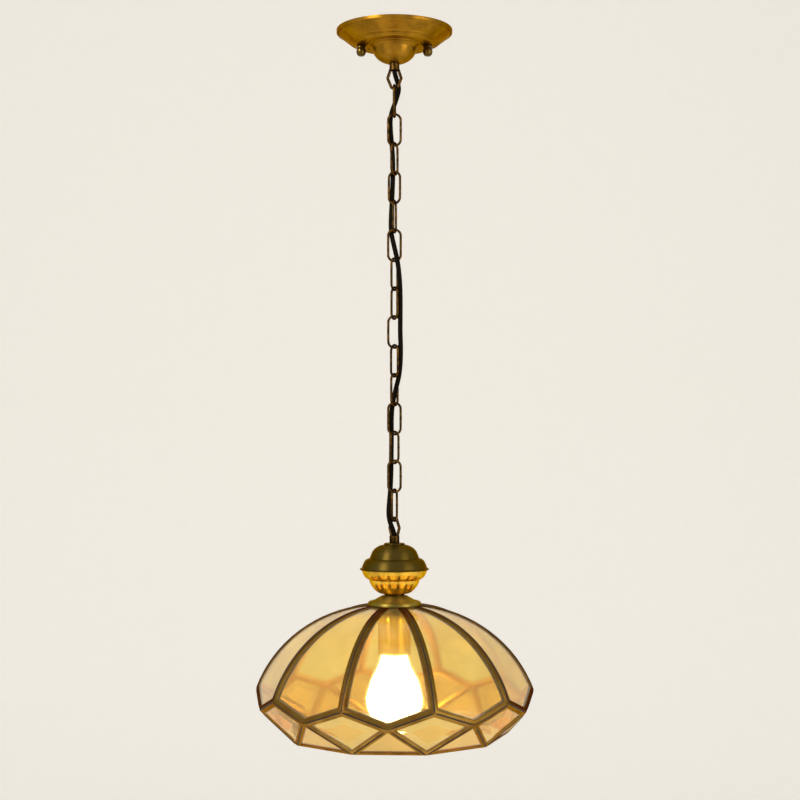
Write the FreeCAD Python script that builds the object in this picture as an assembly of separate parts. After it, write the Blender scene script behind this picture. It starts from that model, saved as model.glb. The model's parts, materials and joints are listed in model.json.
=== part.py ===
"""Pendant light: a brass canopy, an oval-link chain with its cord, a turned body and a ten-sided glass shade.

Millimetres. The origin is the middle of the crossbar's top face, on the ceiling, and +Z points up.
"""
import FreeCAD, Part
import os
from math import atan2, cos, hypot, pi, radians, sin, sqrt, tan

V = FreeCAD.Vector
UP = V(0, 0, 1)

# General fits
CONTACT_PLAY = 0.3        # slack between two chain links where they hang in each other
THREAD_PLAY = 0.05        # radial room between a threaded tube and what it screws into
OVERRUN = 2.0             # how far every cutting solid runs past what it cuts

# Cord and its brass tubes
CORD_RADIUS = 2.6
STEM_RADIUS = 4.0         # hollow threaded tube, M8
STEM_BORE_RADIUS = 3.0
NUT_ACROSS_FLATS = 13.0
NUT_HEIGHT = 3.0
WASHER_THICKNESS = 1.2

# Canopy
CANOPY_RADIUS = 62.5
CANOPY_DEPTH = 16.8
CANOPY_WALL = 1.0
DOME_RADIUS = 25.0
DOME_DEPTH = 18.6
CANOPY_WASHER_RADIUS = 6.4
CANOPY_NUT_ACROSS_FLATS = 11.0
CROSSBAR_LENGTH = 92.0
CROSSBAR_WIDTH = 18.0
CROSSBAR_THICKNESS = 1.6
SLOT_SPACING = 44.0
SLOT_LENGTH = 14.0
SLOT_WIDTH = 5.2
STUD_SPACING = 71.8
STUD_RADIUS = 2.0
LOCK_NUT_ACROSS_FLATS = 7.0
LOCK_NUT_HEIGHT = 3.2
CAP_NUT_RADIUS = 5.2
CAP_NUT_HEIGHT = 11.4
CAP_NUT_BORE_DEPTH = 8.0
EARTH_SCREW_RADIUS = 1.5
EARTH_HEAD_RADIUS = 2.8
EARTH_HEAD_HEIGHT = 2.2
EARTH_SCREW_X = 30.0      # between a slot and a stud
EARTH_SCREW_Y = 5.9       # across the bar, from its middle line
BLOCK_LENGTH = 27.0
BLOCK_WIDTH = 13.0
BLOCK_HEIGHT = 10.5
BLOCK_POLES = 3
BLOCK_HOLE_RADIUS = 1.9
BLOCK_SCREW_RADIUS = 1.6
BLOCK_SCREW_LENGTH = 3.4
CORE_RADIUS = 0.8         # one insulated core of the cord
CORE_BEND_RADIUS = 2.2
CORE_END_SHARE = 0.62     # how far up the block a core ends
CORE_BEND_SHARES = [0.35, 0.7]   # where a core bends outwards and up again, between cord and block

# Loops at both ends of the chain
LOOP_COLLAR_RADIUS = 5.4
LOOP_COLLAR_HEIGHT = 8.0
LOOP_THREAD_DEPTH = 5.0
LOOP_WIRE_RADIUS = 1.6
LOOP_HALF_WIDTH = 7.4     # to the wire's middle
LOOP_HALF_NECK = 4.0
LOOP_HALF_END = 3.0
LOOP_OPENING = 17.4       # from the collar to the inside of the loop's far bar
LOOP_SHOULDER_DROP = 8.4
LOOP_BEND_RADIUS = 2.4
TOP_LOOP_TURN = 0.0
LOWER_LOOP_TURN = -45.0

# Chain
LINK_WIRE_RADIUS = 1.3
LINK_INNER_LENGTH = 31.45
LINK_WIDTH = 16.2
LINK_TURNS = [85, 5, 61, -27, 77, -2, 62, -62, 12, -57, 60, -9, 50, -9, 67]

# Body between the chain and the shade
SEAT_DISC_RADIUS = 11.2
SEAT_DISC_THICKNESS = 1.6
BODY_WALL = 1.2
UPPER_CAP_RADIUS = 37.0
UPPER_CAP_HEIGHT = 25.9
LOWER_CAP_RADIUS = 35.3
LOWER_CAP_HEIGHT = 26.0
NECK_RADIUS = 10.8
NECK_HEIGHT = 1.8
COLLAR_RADIUS = 28.8
COLLAR_HEIGHT = 9.9
COLLAR_WALL = 0.9
COLLAR_LIP = 3.4          # flat underside of the collar's rim

# Shade: ten main panes, ten lozenges that hang from the ribs and ten triangles between them
SHADE_SIDES = 10
SHADE_TURN = 15.6         # one rib's angle from the front, towards +X
SHADE_RADIUS = 150.0      # to the corners where rib and lozenge meet
PANE_RISE = 91.15         # from those corners to the crown
PANE_TOP_RADIUS = 26.0    # to the middle of a pane's top edge
PANE_TOP_SLOPE = 5.12     # degrees below level where a pane leaves the crown
SIDE_CORNER_DROP = 16.2   # from the rib corners to the lozenges' side corners
RIM_RADIUS = 120.6        # to the corners of the bottom rim
RIM_DROP = 47.5
GLASS_THICKNESS = 3.0
CHANNEL_WALL = 0.8
CHANNEL_WEB = 0.8
GLASS_PLAY = 0.1
SOLDER_GAP = 0.08
RIB_CHANNEL = 4.5         # width of one pane's brass edge on the outside
ZIGZAG_CHANNEL = 4.4
LOWER_CHANNEL = 3.2
RIM_CHANNEL = 3.0
BEVEL_WIDTH = 9.0
BEVEL_RISE = 1.4
CROWN_THICKNESS = 3.0
CLAMP_RADIUS = 12.0

# Lampholder and bulb
HOLDER_RADIUS = 17.5
HOLDER_WALL = 0.8
HOLDER_CAP_HEIGHT = 12.5
SLEEVE_LENGTH = 33.5
SLEEVE_BEAD_RADIUS = 1.0
INSERT_FLOOR = 4.0
INSERT_LENGTH = 26.0
SHELL_RADIUS = 13.55      # inside of the screw shell
SHELL_WALL = 0.5
SHELL_LENGTH = 21.0
CONTACT_RADIUS = 3.2
CONTACT_THICKNESS = 1.0
CONTACT_GAP = 0.2         # the bulb's tip under the holder's contact
BULB_RADIUS = 30.0
BULB_GLASS_LENGTH = 80.5
BULB_GLASS_WALL = 1.0
BULB_CAP_RADIUS = 13.2
BULB_CAP_LENGTH = 22.0
BULB_CAP_WALL = 0.4
BULB_INSULATOR_HEIGHT = 2.0
BULB_TIP_RADIUS = 4.8
BULB_TIP_HEIGHT = 1.2
BULB_STEM_RADIUS = 4.2
BULB_STEM_LENGTH = 38.0
FILAMENT_RADIUS = 0.5
FILAMENT_SPREAD = 11.0
FILAMENT_DROP = 14.0
SUPPORT_RADIUS = 0.4

# The cord's route, chosen by hand: out of the top loop, laced down the chain and into the lower loop
CORD_ROUTE = [
    (0.0, 0.0, -20.0),
    (0.0, 0.0, -45.0),
    (2.0, 2.6, -51.5),
    (4.1, 4.7, -57.5),
    (4.9, 4.4, -64.0),
    (1.2, 2.1, -76.5),
    (-4.7, 4.1, -92.1),
    (-4.2, 5.1, -107.7),
    (-2.7, 5.8, -123.2),
    (-1.6, 6.2, -138.8),
    (-1.6, 6.3, -154.4),
    (-2.1, 6.2, -170.0),
    (-2.8, 6.1, -185.6),
    (-3.7, 5.8, -201.1),
    (-3.9, 4.9, -216.7),
    (-0.5, -0.1, -232.3),
    (3.1, -4.7, -247.8),
    (5.2, -4.3, -263.4),
    (6.2, -2.6, -279.0),
    (6.4, -2.2, -294.6),
    (6.3, -3.0, -310.2),
    (6.2, -3.3, -325.7),
    (6.8, -2.9, -341.3),
    (6.6, -1.4, -356.9),
    (5.2, 0.3, -372.4),
    (1.2, 2.2, -388.0),
    (-2.4, 4.9, -403.6),
    (-3.3, 5.7, -419.2),
    (-3.2, 5.7, -434.7),
    (-3.2, 5.6, -450.3),
    (-3.5, 5.6, -465.9),
    (-3.7, 5.7, -481.5),
    (-4.5, 5.2, -497.0),
    (-6.1, 1.4, -514.2),
    (-6.2, -0.6, -523.2),
    (-5.0, -1.2, -530.2),
    (-2.2, -0.7, -537.2),
    (0.0, 0.0, -543.8),
    (0.0, 0.0, -622.0),
]

# Outlines as shares of the piece's radius and depth, from its top edge down
DISH_SHARES = [
    [(1.0, 0.0), (1.0, 0.19)],
    [(1.0, 0.19), (0.973, 0.262)],
    [(0.973, 0.262), (0.928, 0.381), (0.864, 0.577), (0.776, 0.786), (0.704, 0.887)],
    [(0.704, 0.887), (0.684, 0.955), (0.664, 1.0)],
    [(0.664, 1.0), (0.488, 1.0)],
]
DOME_SHARES = [
    [(1.02, 0.13), (0.968, 0.2), (0.92, 0.37), (0.83, 0.6), (0.656, 0.82), (0.46, 0.955), (0.3, 1.0)],
]
CAP_NUT_SHARES = [
    [(0.0, 0.0), (0.92, 0.0)],
    [(0.92, 0.0), (0.92, 0.22)],
    [(0.92, 0.22), (0.78, 0.29), (0.86, 0.36)],
    [(0.86, 0.36), (1.0, 0.5), (0.94, 0.72), (0.66, 0.91), (0.0, 1.0)],
]
UPPER_CAP_SHARES = [
    [(0.31, 0.0), (0.44, 0.05), (0.56, 0.15), (0.64, 0.28), (0.695, 0.45), (0.725, 0.572)],
    [(0.725, 0.572), (0.775, 0.587)],
    [(0.775, 0.587), (0.85, 0.65), (0.912, 0.79), (0.945, 0.93)],
    [(0.945, 0.93), (0.965, 0.985), (1.02, 1.0)],
]
LOWER_CAP_SHARES = [
    [(1.0, 0.0), (0.969, 0.16), (0.904, 0.3), (0.82, 0.39)],
    [(0.82, 0.39), (0.775, 0.41)],
    [(0.775, 0.41), (0.742, 0.56), (0.663, 0.74), (0.564, 0.88), (0.462, 0.96), (0.334, 1.0)],
]
COLLAR_SHARES = [
    [(0.48, 0.0), (0.835, 0.6)],
    [(0.835, 0.6), (0.92, 0.61), (0.98, 0.7), (1.0, 0.83)],
    [(1.0, 0.83), (1.0, 1.0)],
]
HOLDER_CAP_SHARES = [
    [(0.5, 0.0), (0.86, 0.22), (1.0, 0.6)],
    [(1.0, 0.6), (1.0, 1.0)],
]
BULB_CAP_SHARES = [
    [(0.72, 0.0), (1.0, 0.12)],
    [(1.0, 0.12), (1.0, 1.0)],
]
GLASS_BULB_SHARES = [
    [(0.44, 0.0), (0.47, 0.08), (0.62, 0.24), (0.86, 0.42), (1.0, 0.63)],
    [(1.0, 0.63), (0.97, 0.745), (0.8, 0.885), (0.5, 0.97), (0.0, 1.0)],
]

# Heights, worked down from the ceiling
DISH_FLOOR = -CANOPY_DEPTH
CANOPY_FOOT = DISH_FLOOR - DOME_DEPTH
TOP_COLLAR_FACE = CANOPY_FOOT - LOOP_COLLAR_HEIGHT
LINK_PITCH = LINK_INNER_LENGTH - CONTACT_PLAY
FIRST_CONTACT = TOP_COLLAR_FACE - LOOP_OPENING + CONTACT_PLAY / 2
LAST_CONTACT = FIRST_CONTACT - LINK_PITCH * len(LINK_TURNS)
LOWER_COLLAR_FACE = LAST_CONTACT + CONTACT_PLAY / 2 - LOOP_OPENING
SEAT_TOP = LOWER_COLLAR_FACE - LOOP_COLLAR_HEIGHT
UPPER_CAP_TOP = SEAT_TOP - SEAT_DISC_THICKNESS
LOWER_CAP_TOP = UPPER_CAP_TOP - UPPER_CAP_HEIGHT - BODY_WALL
NECK_TOP = LOWER_CAP_TOP - LOWER_CAP_HEIGHT
COLLAR_TOP = NECK_TOP - NECK_HEIGHT
CROWN_TOP = COLLAR_TOP - COLLAR_HEIGHT
CORNER_LEVEL = CROWN_TOP - PANE_RISE
CLAMP_TOP = CROWN_TOP - CROWN_THICKNESS
STEM_NUT_TOP = CLAMP_TOP - WASHER_THICKNESS
HOLDER_TOP = STEM_NUT_TOP - NUT_HEIGHT
SLEEVE_TOP = HOLDER_TOP - HOLDER_CAP_HEIGHT
STEM_FOOT = HOLDER_TOP - NUT_HEIGHT
CONTACT_TOP = SLEEVE_TOP - INSERT_FLOOR
BULB_TOP = CONTACT_TOP - CONTACT_THICKNESS - CONTACT_GAP
INSULATOR_TOP = BULB_TOP - BULB_TIP_HEIGHT
BULB_CAP_TOP = INSULATOR_TOP - BULB_INSULATOR_HEIGHT
BULB_GLASS_TOP = BULB_CAP_TOP - BULB_CAP_LENGTH


def turned(outline):
    """Solid of turn from a closed outline of (radius, height) points."""
    points = [V(r, 0, z) for r, z in outline]
    face = Part.Face(Part.makePolygon(points + points[:1]))
    return face.revolve(V(0, 0, 0), UP, 360)


def ring(outer, inner, top, height):
    """Plain ring or, with an inner radius of 0, a disc."""
    body = Part.makeCylinder(outer, height, V(0, 0, top - height))
    if inner > 0:
        body = body.cut(Part.makeCylinder(inner, height + 2 * OVERRUN, V(0, 0, top - height - OVERRUN)))
    return body


def placed(groups, radius, depth, top):
    """Outline shares made real sizes, from a top edge downwards."""
    return [[(r * radius, top - z * depth) for r, z in group] for group in groups]


def curve(points):
    """One edge through the points: a line through two, a smooth curve through more."""
    vectors = [V(r, 0, z) for r, z in points]
    if len(vectors) == 2:
        return Part.LineSegment(*vectors).toShape()
    spline = Part.BSplineCurve()
    spline.interpolate(Points=vectors)
    return spline.toShape()


def unit(dx, dz):
    length = hypot(dx, dz)
    return dx / length, dz / length


def shifted(groups, distance):
    """The outline moved to the right of its own direction, corners mitred."""
    flat = [groups[0][0]]
    for group in groups:
        flat += group[1:]
    normals = []
    for (r0, z0), (r1, z1) in zip(flat, flat[1:]):
        dx, dz = unit(r1 - r0, z1 - z0)
        normals.append((dz, -dx))
    moved = []
    for i, (r, z) in enumerate(flat):
        a = normals[max(i - 1, 0)]
        b = normals[min(i, len(normals) - 1)]
        share = distance / (1 + a[0] * b[0] + a[1] * b[1])
        moved.append((max(r + (a[0] + b[0]) * share, 0), z + (a[1] + b[1]) * share))
    result, start = [], 0
    for group in groups:
        result.append(moved[start:start + len(group)])
        start += len(group) - 1
    return result


def spun(groups, wall):
    """Thin spun shell: the outline, its inner side a wall thickness away, turned about Z."""
    inner = shifted(groups, wall)
    edges = [curve(group) for group in groups]
    if groups[-1][-1] != inner[-1][-1]:
        edges.append(curve([groups[-1][-1], inner[-1][-1]]))
    edges += [curve(group[::-1]) for group in reversed(inner)]
    edges.append(curve([inner[0][0], groups[0][0]]))
    face = Part.Face(Part.Wire(Part.__sortEdges__(edges)))
    return face.revolve(V(0, 0, 0), UP, 360)


def hex_nut(across_flats, bore, height, top, x=0.0):
    corner = across_flats / sqrt(3)
    points = [V(x + corner * cos(i * pi / 3), corner * sin(i * pi / 3), top - height) for i in range(7)]
    body = Part.Face(Part.makePolygon(points)).extrude(UP * height)
    return body.cut(Part.makeCylinder(bore, height + 2 * OVERRUN, V(x, 0, top - height - OVERRUN)))


def rounded_path(points, radii):
    """Straight runs joined by tangent arcs, one radius for each inner point."""
    points = [V(*p) for p in points]
    edges, start = [], points[0]
    for before, corner, after, radius in zip(points, points[1:], points[2:], radii):
        a = (before - corner).normalize()
        b = (after - corner).normalize()
        half = a.getAngle(b) / 2
        reach = radius / tan(half)
        first, last = corner + a * reach, corner + b * reach
        middle = corner + (a + b).normalize() * (radius / sin(half) - radius)
        edges += [Part.LineSegment(start, first).toShape(), Part.Arc(first, middle, last).toShape()]
        start = last
    edges.append(Part.LineSegment(start, points[-1]).toShape())
    return Part.Wire(edges)


def route_radii(points):
    """For each inner point, 0.45 of its shorter run over the tangent of half the turn."""
    points = [V(*p) for p in points]
    radii = []
    for before, corner, after in zip(points, points[1:], points[2:]):
        run = min((corner - before).Length, (after - corner).Length)
        radii.append(0.45 * run / tan((corner - before).getAngle(after - corner) / 2))
    return radii


def tube(path, radius):
    """Round bar along a path of lines and arcs."""
    start = path.Edges[0]
    section = Part.Circle(start.firstVertex(True).Point, start.tangentAt(start.FirstParameter), radius)
    return path.makePipeShell([Part.Wire(section.toShape())], True, False)


def turn(shape, angle):
    """The shape turned about the vertical axis through the origin."""
    copy = shape.copy()
    copy.rotate(V(0, 0, 0), UP, angle)
    return copy


def save(name, *shapes):
    """Write one sub-part; several shapes are one group of separate solids."""
    solids = [solid for shape in shapes for solid in shape.Solids]
    for solid in solids:
        if not solid.isValid() or solid.Volume <= 0:
            raise ValueError("bad solid in " + name)
    shape = solids[0] if len(solids) == 1 else Part.makeCompound(solids)
    shape.exportStep(os.path.join("parts", name + ".step"))
    print(name, len(solids), "solids,", round(sum(s.Volume for s in solids) / 1000, 2), "cm3")


# Ceiling end

def crossbar():
    """Steel strip on the ceiling with two fixing slots, two stud holes and the earth screw's hole."""
    bar = Part.makeBox(
        CROSSBAR_LENGTH, CROSSBAR_WIDTH, CROSSBAR_THICKNESS,
        V(-CROSSBAR_LENGTH / 2, -CROSSBAR_WIDTH / 2, -CROSSBAR_THICKNESS))
    ends = [edge for edge in bar.Edges if edge.tangentAt(edge.FirstParameter).isEqual(UP, 1e-6)
            or edge.tangentAt(edge.FirstParameter).isEqual(-UP, 1e-6)]
    bar = bar.makeFillet(CROSSBAR_WIDTH / 4, ends)
    low = -CROSSBAR_THICKNESS - OVERRUN
    height = CROSSBAR_THICKNESS + 2 * OVERRUN
    for side in (-1, 1):
        straight = SLOT_LENGTH - SLOT_WIDTH
        middle = side * SLOT_SPACING / 2
        slot = Part.makeBox(straight, SLOT_WIDTH, height, V(middle - straight / 2, -SLOT_WIDTH / 2, low))
        for end in (-1, 1):
            round_end = V(middle + end * straight / 2, 0, low)
            slot = slot.fuse(Part.makeCylinder(SLOT_WIDTH / 2, height, round_end))
        bar = bar.cut(slot)
        bar = bar.cut(Part.makeCylinder(STUD_RADIUS, height, V(side * STUD_SPACING / 2, 0, low)))
    bar = bar.cut(Part.makeCylinder(EARTH_SCREW_RADIUS, height, V(EARTH_SCREW_X, EARTH_SCREW_Y, low)))
    return bar


def studs():
    """Threaded studs screwed into the crossbar, hanging down into the cap nuts."""
    length = -DISH_FLOOR + CAP_NUT_BORE_DEPTH - STUD_RADIUS
    feet = [V(side * STUD_SPACING / 2, 0, -length) for side in (-1, 1)]
    return [Part.makeCylinder(STUD_RADIUS, length, foot) for foot in feet]


def lock_nuts():
    return [hex_nut(LOCK_NUT_ACROSS_FLATS, STUD_RADIUS, LOCK_NUT_HEIGHT, -CROSSBAR_THICKNESS,
                    side * STUD_SPACING / 2) for side in (-1, 1)]


def canopy():
    """Spun dish with a domed boss, holed for the stem and the two studs."""
    groups = placed(DISH_SHARES, CANOPY_RADIUS, CANOPY_DEPTH, 0)
    dome = placed(DOME_SHARES, DOME_RADIUS, DOME_DEPTH, DISH_FLOOR)
    groups.append([groups[-1][-1], dome[0][0]])
    groups += dome
    groups.append([dome[-1][-1], (STEM_RADIUS + THREAD_PLAY, CANOPY_FOOT)])
    shell = spun(groups, CANOPY_WALL)
    for side in (-1, 1):
        shell = shell.cut(Part.makeCylinder(
            STUD_RADIUS + THREAD_PLAY, CANOPY_WALL + 2 * OVERRUN,
            V(side * STUD_SPACING / 2, 0, DISH_FLOOR - OVERRUN)))
    return shell


def cap_nut(side):
    """Brass cap nut: a collar, a waist and a domed ball, with a blind bore for the stud."""
    groups = placed(CAP_NUT_SHARES, CAP_NUT_RADIUS, CAP_NUT_HEIGHT, DISH_FLOOR)
    edges = [curve(group) for group in groups]
    edges.append(curve([groups[-1][-1], groups[0][0]]))
    face = Part.Face(Part.Wire(edges))
    nut = face.revolve(V(0, 0, 0), UP, 360)
    bore_foot = DISH_FLOOR - CAP_NUT_BORE_DEPTH
    nut = nut.cut(Part.makeCylinder(
        STUD_RADIUS + THREAD_PLAY, CAP_NUT_BORE_DEPTH + OVERRUN, V(0, 0, bore_foot)))
    nut.translate(V(side * STUD_SPACING / 2, 0, 0))
    return nut


def threaded_tube(top, foot):
    """Hollow tube that carries the cord inside it."""
    return ring(STEM_RADIUS, STEM_BORE_RADIUS, top, top - foot)


def canopy_nipple():
    return threaded_tube(nipple_washer_top() + NUT_HEIGHT + THREAD_PLAY, CANOPY_FOOT - LOOP_THREAD_DEPTH)


def nipple_washer_top():
    return CANOPY_FOOT + CANOPY_WALL + WASHER_THICKNESS


def canopy_washer():
    return ring(CANOPY_WASHER_RADIUS, STEM_RADIUS + THREAD_PLAY, nipple_washer_top(), WASHER_THICKNESS)


def canopy_nut():
    top = nipple_washer_top() + NUT_HEIGHT
    return hex_nut(CANOPY_NUT_ACROSS_FLATS, STEM_RADIUS + THREAD_PLAY, NUT_HEIGHT, top)


def block_centres():
    """Where the terminal block's poles stand along the bar."""
    step = BLOCK_LENGTH / BLOCK_POLES
    return [(i - (BLOCK_POLES - 1) / 2) * step for i in range(BLOCK_POLES)]


def terminal_block():
    """Moulded block under the crossbar: a well for each core below, a screw hole at the side."""
    top = -CROSSBAR_THICKNESS
    body = Part.makeBox(
        BLOCK_LENGTH, BLOCK_WIDTH, BLOCK_HEIGHT, V(-BLOCK_LENGTH / 2, -BLOCK_WIDTH / 2, top - BLOCK_HEIGHT))
    for x in block_centres():
        body = body.cut(Part.makeCylinder(
            BLOCK_HOLE_RADIUS, BLOCK_HEIGHT / 2 + OVERRUN, V(x, 0, top - BLOCK_HEIGHT - OVERRUN)))
        mouth = V(x, -BLOCK_WIDTH / 2 - OVERRUN, block_screw_level())
        body = body.cut(Part.makeCylinder(BLOCK_SCREW_RADIUS, BLOCK_WIDTH / 2 + OVERRUN, mouth, V(0, 1, 0)))
    return body


def block_screw_level():
    return -CROSSBAR_THICKNESS - BLOCK_HEIGHT / 2 - BLOCK_SCREW_RADIUS / 2


def block_screws():
    mouths = [V(x, -BLOCK_WIDTH / 2, block_screw_level()) for x in block_centres()]
    return [Part.makeCylinder(BLOCK_SCREW_RADIUS, BLOCK_SCREW_LENGTH, mouth, V(0, 1, 0)) for mouth in mouths]


def earth_screw():
    """Screw up into the crossbar, its head under it."""
    x, y = EARTH_SCREW_X, EARTH_SCREW_Y
    head_foot = -CROSSBAR_THICKNESS - EARTH_HEAD_HEIGHT
    head = Part.makeCylinder(EARTH_HEAD_RADIUS, EARTH_HEAD_HEIGHT, V(x, y, head_foot))
    shank = Part.makeCylinder(EARTH_SCREW_RADIUS, CROSSBAR_THICKNESS, V(x, y, -CROSSBAR_THICKNESS))
    return head.fuse(shank).removeSplitter()


def cord_cores():
    """The cord's cores, spread from its cut end up into the terminal block."""
    low = CORD_ROUTE[0][2]
    block_foot = -CROSSBAR_THICKNESS - BLOCK_HEIGHT
    high = -CROSSBAR_THICKNESS - BLOCK_HEIGHT * CORE_END_SHARE
    bend, exit_bend = (low + (block_foot - low) * share for share in CORE_BEND_SHARES)
    cores = []
    spread = CORD_RADIUS - CORE_RADIUS - THREAD_PLAY
    for i, x in enumerate(block_centres()):
        start = (i - (BLOCK_POLES - 1) / 2) * spread
        if abs(x - start) < CORE_RADIUS:
            cores.append(Part.makeCylinder(CORE_RADIUS, high - low, V(x, 0, low)))
            continue
        points = [(start, 0, low), (start, 0, bend), (x, 0, exit_bend), (x, 0, high)]
        radii = route_radii(points)
        cores.append(tube(rounded_path(points, [min(CORE_BEND_RADIUS, r) for r in radii]), CORE_RADIUS))
    return cores


# Loops, chain and cord

def loop(face, sign, angle):
    """Collar with a shaped wire ring: sign is -1 where the ring hangs below the collar's face, 1 above."""
    far = LOOP_OPENING + LOOP_WIRE_RADIUS
    half = [(LOOP_HALF_NECK, -LOOP_WIRE_RADIUS), (LOOP_HALF_WIDTH, LOOP_SHOULDER_DROP), (LOOP_HALF_END, far)]
    points = [(-x, 0, face + sign * drop) for x, drop in half]
    points += [(x, 0, face + sign * drop) for x, drop in reversed(half)]
    bar = tube(rounded_path(points, [LOOP_BEND_RADIUS] * (len(points) - 2)), LOOP_WIRE_RADIUS)
    low = face if sign < 0 else face - LOOP_COLLAR_HEIGHT
    collar = Part.makeCylinder(LOOP_COLLAR_RADIUS, LOOP_COLLAR_HEIGHT, V(0, 0, low))
    collar = collar.makeFillet(LOOP_WIRE_RADIUS / 3, collar.Edges[:1] + collar.Edges[2:])
    body = collar.fuse(bar)
    through = Part.makeCylinder(STEM_BORE_RADIUS, LOOP_COLLAR_HEIGHT + 2 * LOOP_WIRE_RADIUS,
                                V(0, 0, low - LOOP_WIRE_RADIUS))
    thread_low = low + LOOP_COLLAR_HEIGHT - LOOP_THREAD_DEPTH if sign < 0 else low - OVERRUN
    thread = Part.makeCylinder(STEM_RADIUS + THREAD_PLAY, LOOP_THREAD_DEPTH + OVERRUN, V(0, 0, thread_low))
    return turn(body.cut(through).cut(thread).removeSplitter(), angle)


def contact_level(index):
    """Height of the contact above link number index, counted from 0 at the top loop."""
    return FIRST_CONTACT - LINK_PITCH * index


def chain_link(index):
    """Oval link of round wire, turned about the chain's line."""
    top = contact_level(index) + CONTACT_PLAY / 2 + LINK_WIRE_RADIUS
    foot = contact_level(index + 1) - CONTACT_PLAY / 2 - LINK_WIRE_RADIUS
    reach = LINK_WIDTH / 2 - LINK_WIRE_RADIUS
    high, low = top - reach, foot + reach
    edges = [
        Part.LineSegment(V(-reach, 0, low), V(-reach, 0, high)).toShape(),
        Part.Arc(V(-reach, 0, high), V(0, 0, top), V(reach, 0, high)).toShape(),
        Part.LineSegment(V(reach, 0, high), V(reach, 0, low)).toShape(),
        Part.Arc(V(reach, 0, low), V(0, 0, foot), V(-reach, 0, low)).toShape(),
    ]
    return turn(tube(Part.Wire(edges), LINK_WIRE_RADIUS), LINK_TURNS[index])


def supply_cord():
    """The cord's tube, with its radii, length and volume printed."""
    radii = route_radii(CORD_ROUTE)
    path = rounded_path(CORD_ROUTE, radii)
    solid = tube(path, CORD_RADIUS)
    print("cord radii", [round(r, 1) for r in radii])
    print("cord length", round(path.Length, 1), "volume over section times length",
          round(solid.Volume / (pi * CORD_RADIUS ** 2 * path.Length), 5))
    return solid


# Body

def seat_disc():
    return ring(SEAT_DISC_RADIUS, STEM_RADIUS + THREAD_PLAY, SEAT_TOP, SEAT_DISC_THICKNESS)


def upper_cap():
    groups = placed(UPPER_CAP_SHARES, UPPER_CAP_RADIUS, UPPER_CAP_HEIGHT, UPPER_CAP_TOP)
    groups.insert(0, [(STEM_RADIUS + THREAD_PLAY, UPPER_CAP_TOP), groups[0][0]])
    return spun(groups, BODY_WALL)


def lower_cap():
    groups = placed(LOWER_CAP_SHARES, LOWER_CAP_RADIUS, LOWER_CAP_HEIGHT, LOWER_CAP_TOP)
    groups.append([groups[-1][-1], (STEM_RADIUS + THREAD_PLAY, NECK_TOP)])
    shell = spun(groups, BODY_WALL)
    return shell.cut(Part.makeBox(
        4 * LOWER_CAP_RADIUS, 4 * LOWER_CAP_RADIUS, LOWER_CAP_HEIGHT,
        V(-2 * LOWER_CAP_RADIUS, -2 * LOWER_CAP_RADIUS, LOWER_CAP_TOP)))


def neck_ring():
    return ring(NECK_RADIUS, STEM_RADIUS + THREAD_PLAY, NECK_TOP, NECK_HEIGHT)


def shade_collar():
    """Spun bell that spreads the body's weight on the shade's crown."""
    groups = placed(COLLAR_SHARES, COLLAR_RADIUS, COLLAR_HEIGHT, COLLAR_TOP)
    groups.insert(0, [(STEM_RADIUS + THREAD_PLAY, COLLAR_TOP), groups[0][0]])
    lip = ring(COLLAR_RADIUS, COLLAR_RADIUS - COLLAR_LIP, CROWN_TOP + COLLAR_WALL, COLLAR_WALL)
    return spun(groups, COLLAR_WALL).fuse(lip).removeSplitter()


def body_stem():
    return threaded_tube(LOWER_COLLAR_FACE - LOOP_COLLAR_HEIGHT + LOOP_THREAD_DEPTH, STEM_FOOT)


def crown_disc():
    """Brass disc that closes the shade's top; the pane frames are soldered to its edge."""
    return ring(PANE_TOP_RADIUS - SOLDER_GAP, STEM_RADIUS + THREAD_PLAY, CROWN_TOP, CROWN_THICKNESS)


def clamp_washer():
    return ring(CLAMP_RADIUS, STEM_RADIUS + THREAD_PLAY, CLAMP_TOP, WASHER_THICKNESS)


def stem_nut():
    return hex_nut(NUT_ACROSS_FLATS, STEM_RADIUS + THREAD_PLAY, NUT_HEIGHT, STEM_NUT_TOP)


# Shade. Each pane is made once, with its middle on +X, and copied round.

STEP = 360 / SHADE_SIDES
HALF = radians(STEP / 2)
RIB_CORNER = V(SHADE_RADIUS, 0, 0)
RIM_CORNER = V(RIM_RADIUS, 0, -RIM_DROP)
SIDE_RADIUS = (SHADE_RADIUS - (SHADE_RADIUS - RIM_RADIUS) * SIDE_CORNER_DROP / RIM_DROP) / cos(HALF)
SIDE_CORNER = V(SIDE_RADIUS, 0, -SIDE_CORNER_DROP)
FRAME_DEPTH = GLASS_THICKNESS + 2 * CHANNEL_WALL
OVERRUN_ANGLE = radians(STEP)


def at(corner, angle):
    """A corner of the shade turned by an angle in radians."""
    return V(corner.x * cos(angle), corner.x * sin(angle), corner.z)


def arc_from(start, inward, end):
    """Middle and radius of the arc that leaves a point square to an inward direction and runs to another."""
    chord = end - start
    radius = chord.dot(chord) / (2 * chord.dot(inward))
    return start + inward * radius, radius


def pane_arcs():
    """The two arcs a main pane is bent to, each as middle, radius and outward angles at both ends.

    The first runs from the crown to the rib corner, the second on from there to the side corner. A radius
    below zero bends the other way.
    """
    crown = V(PANE_TOP_RADIUS, 0, PANE_RISE)
    corner = V(SHADE_RADIUS * cos(HALF), 0, 0)
    slope = radians(PANE_TOP_SLOPE)
    middle, radius = arc_from(crown, V(-sin(slope), 0, -cos(slope)), corner)
    inward = (middle - corner) * (1 / radius)
    tip_middle, tip_radius = arc_from(corner, inward, SIDE_CORNER)
    corner_angle = atan2(-inward.z, -inward.x)
    outward = (SIDE_CORNER - tip_middle) * (1 / tip_radius)
    tip_angle = atan2(outward.z, outward.x)
    return (middle, radius, pi / 2 - slope, corner_angle), (tip_middle, tip_radius, corner_angle, tip_angle)


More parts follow.
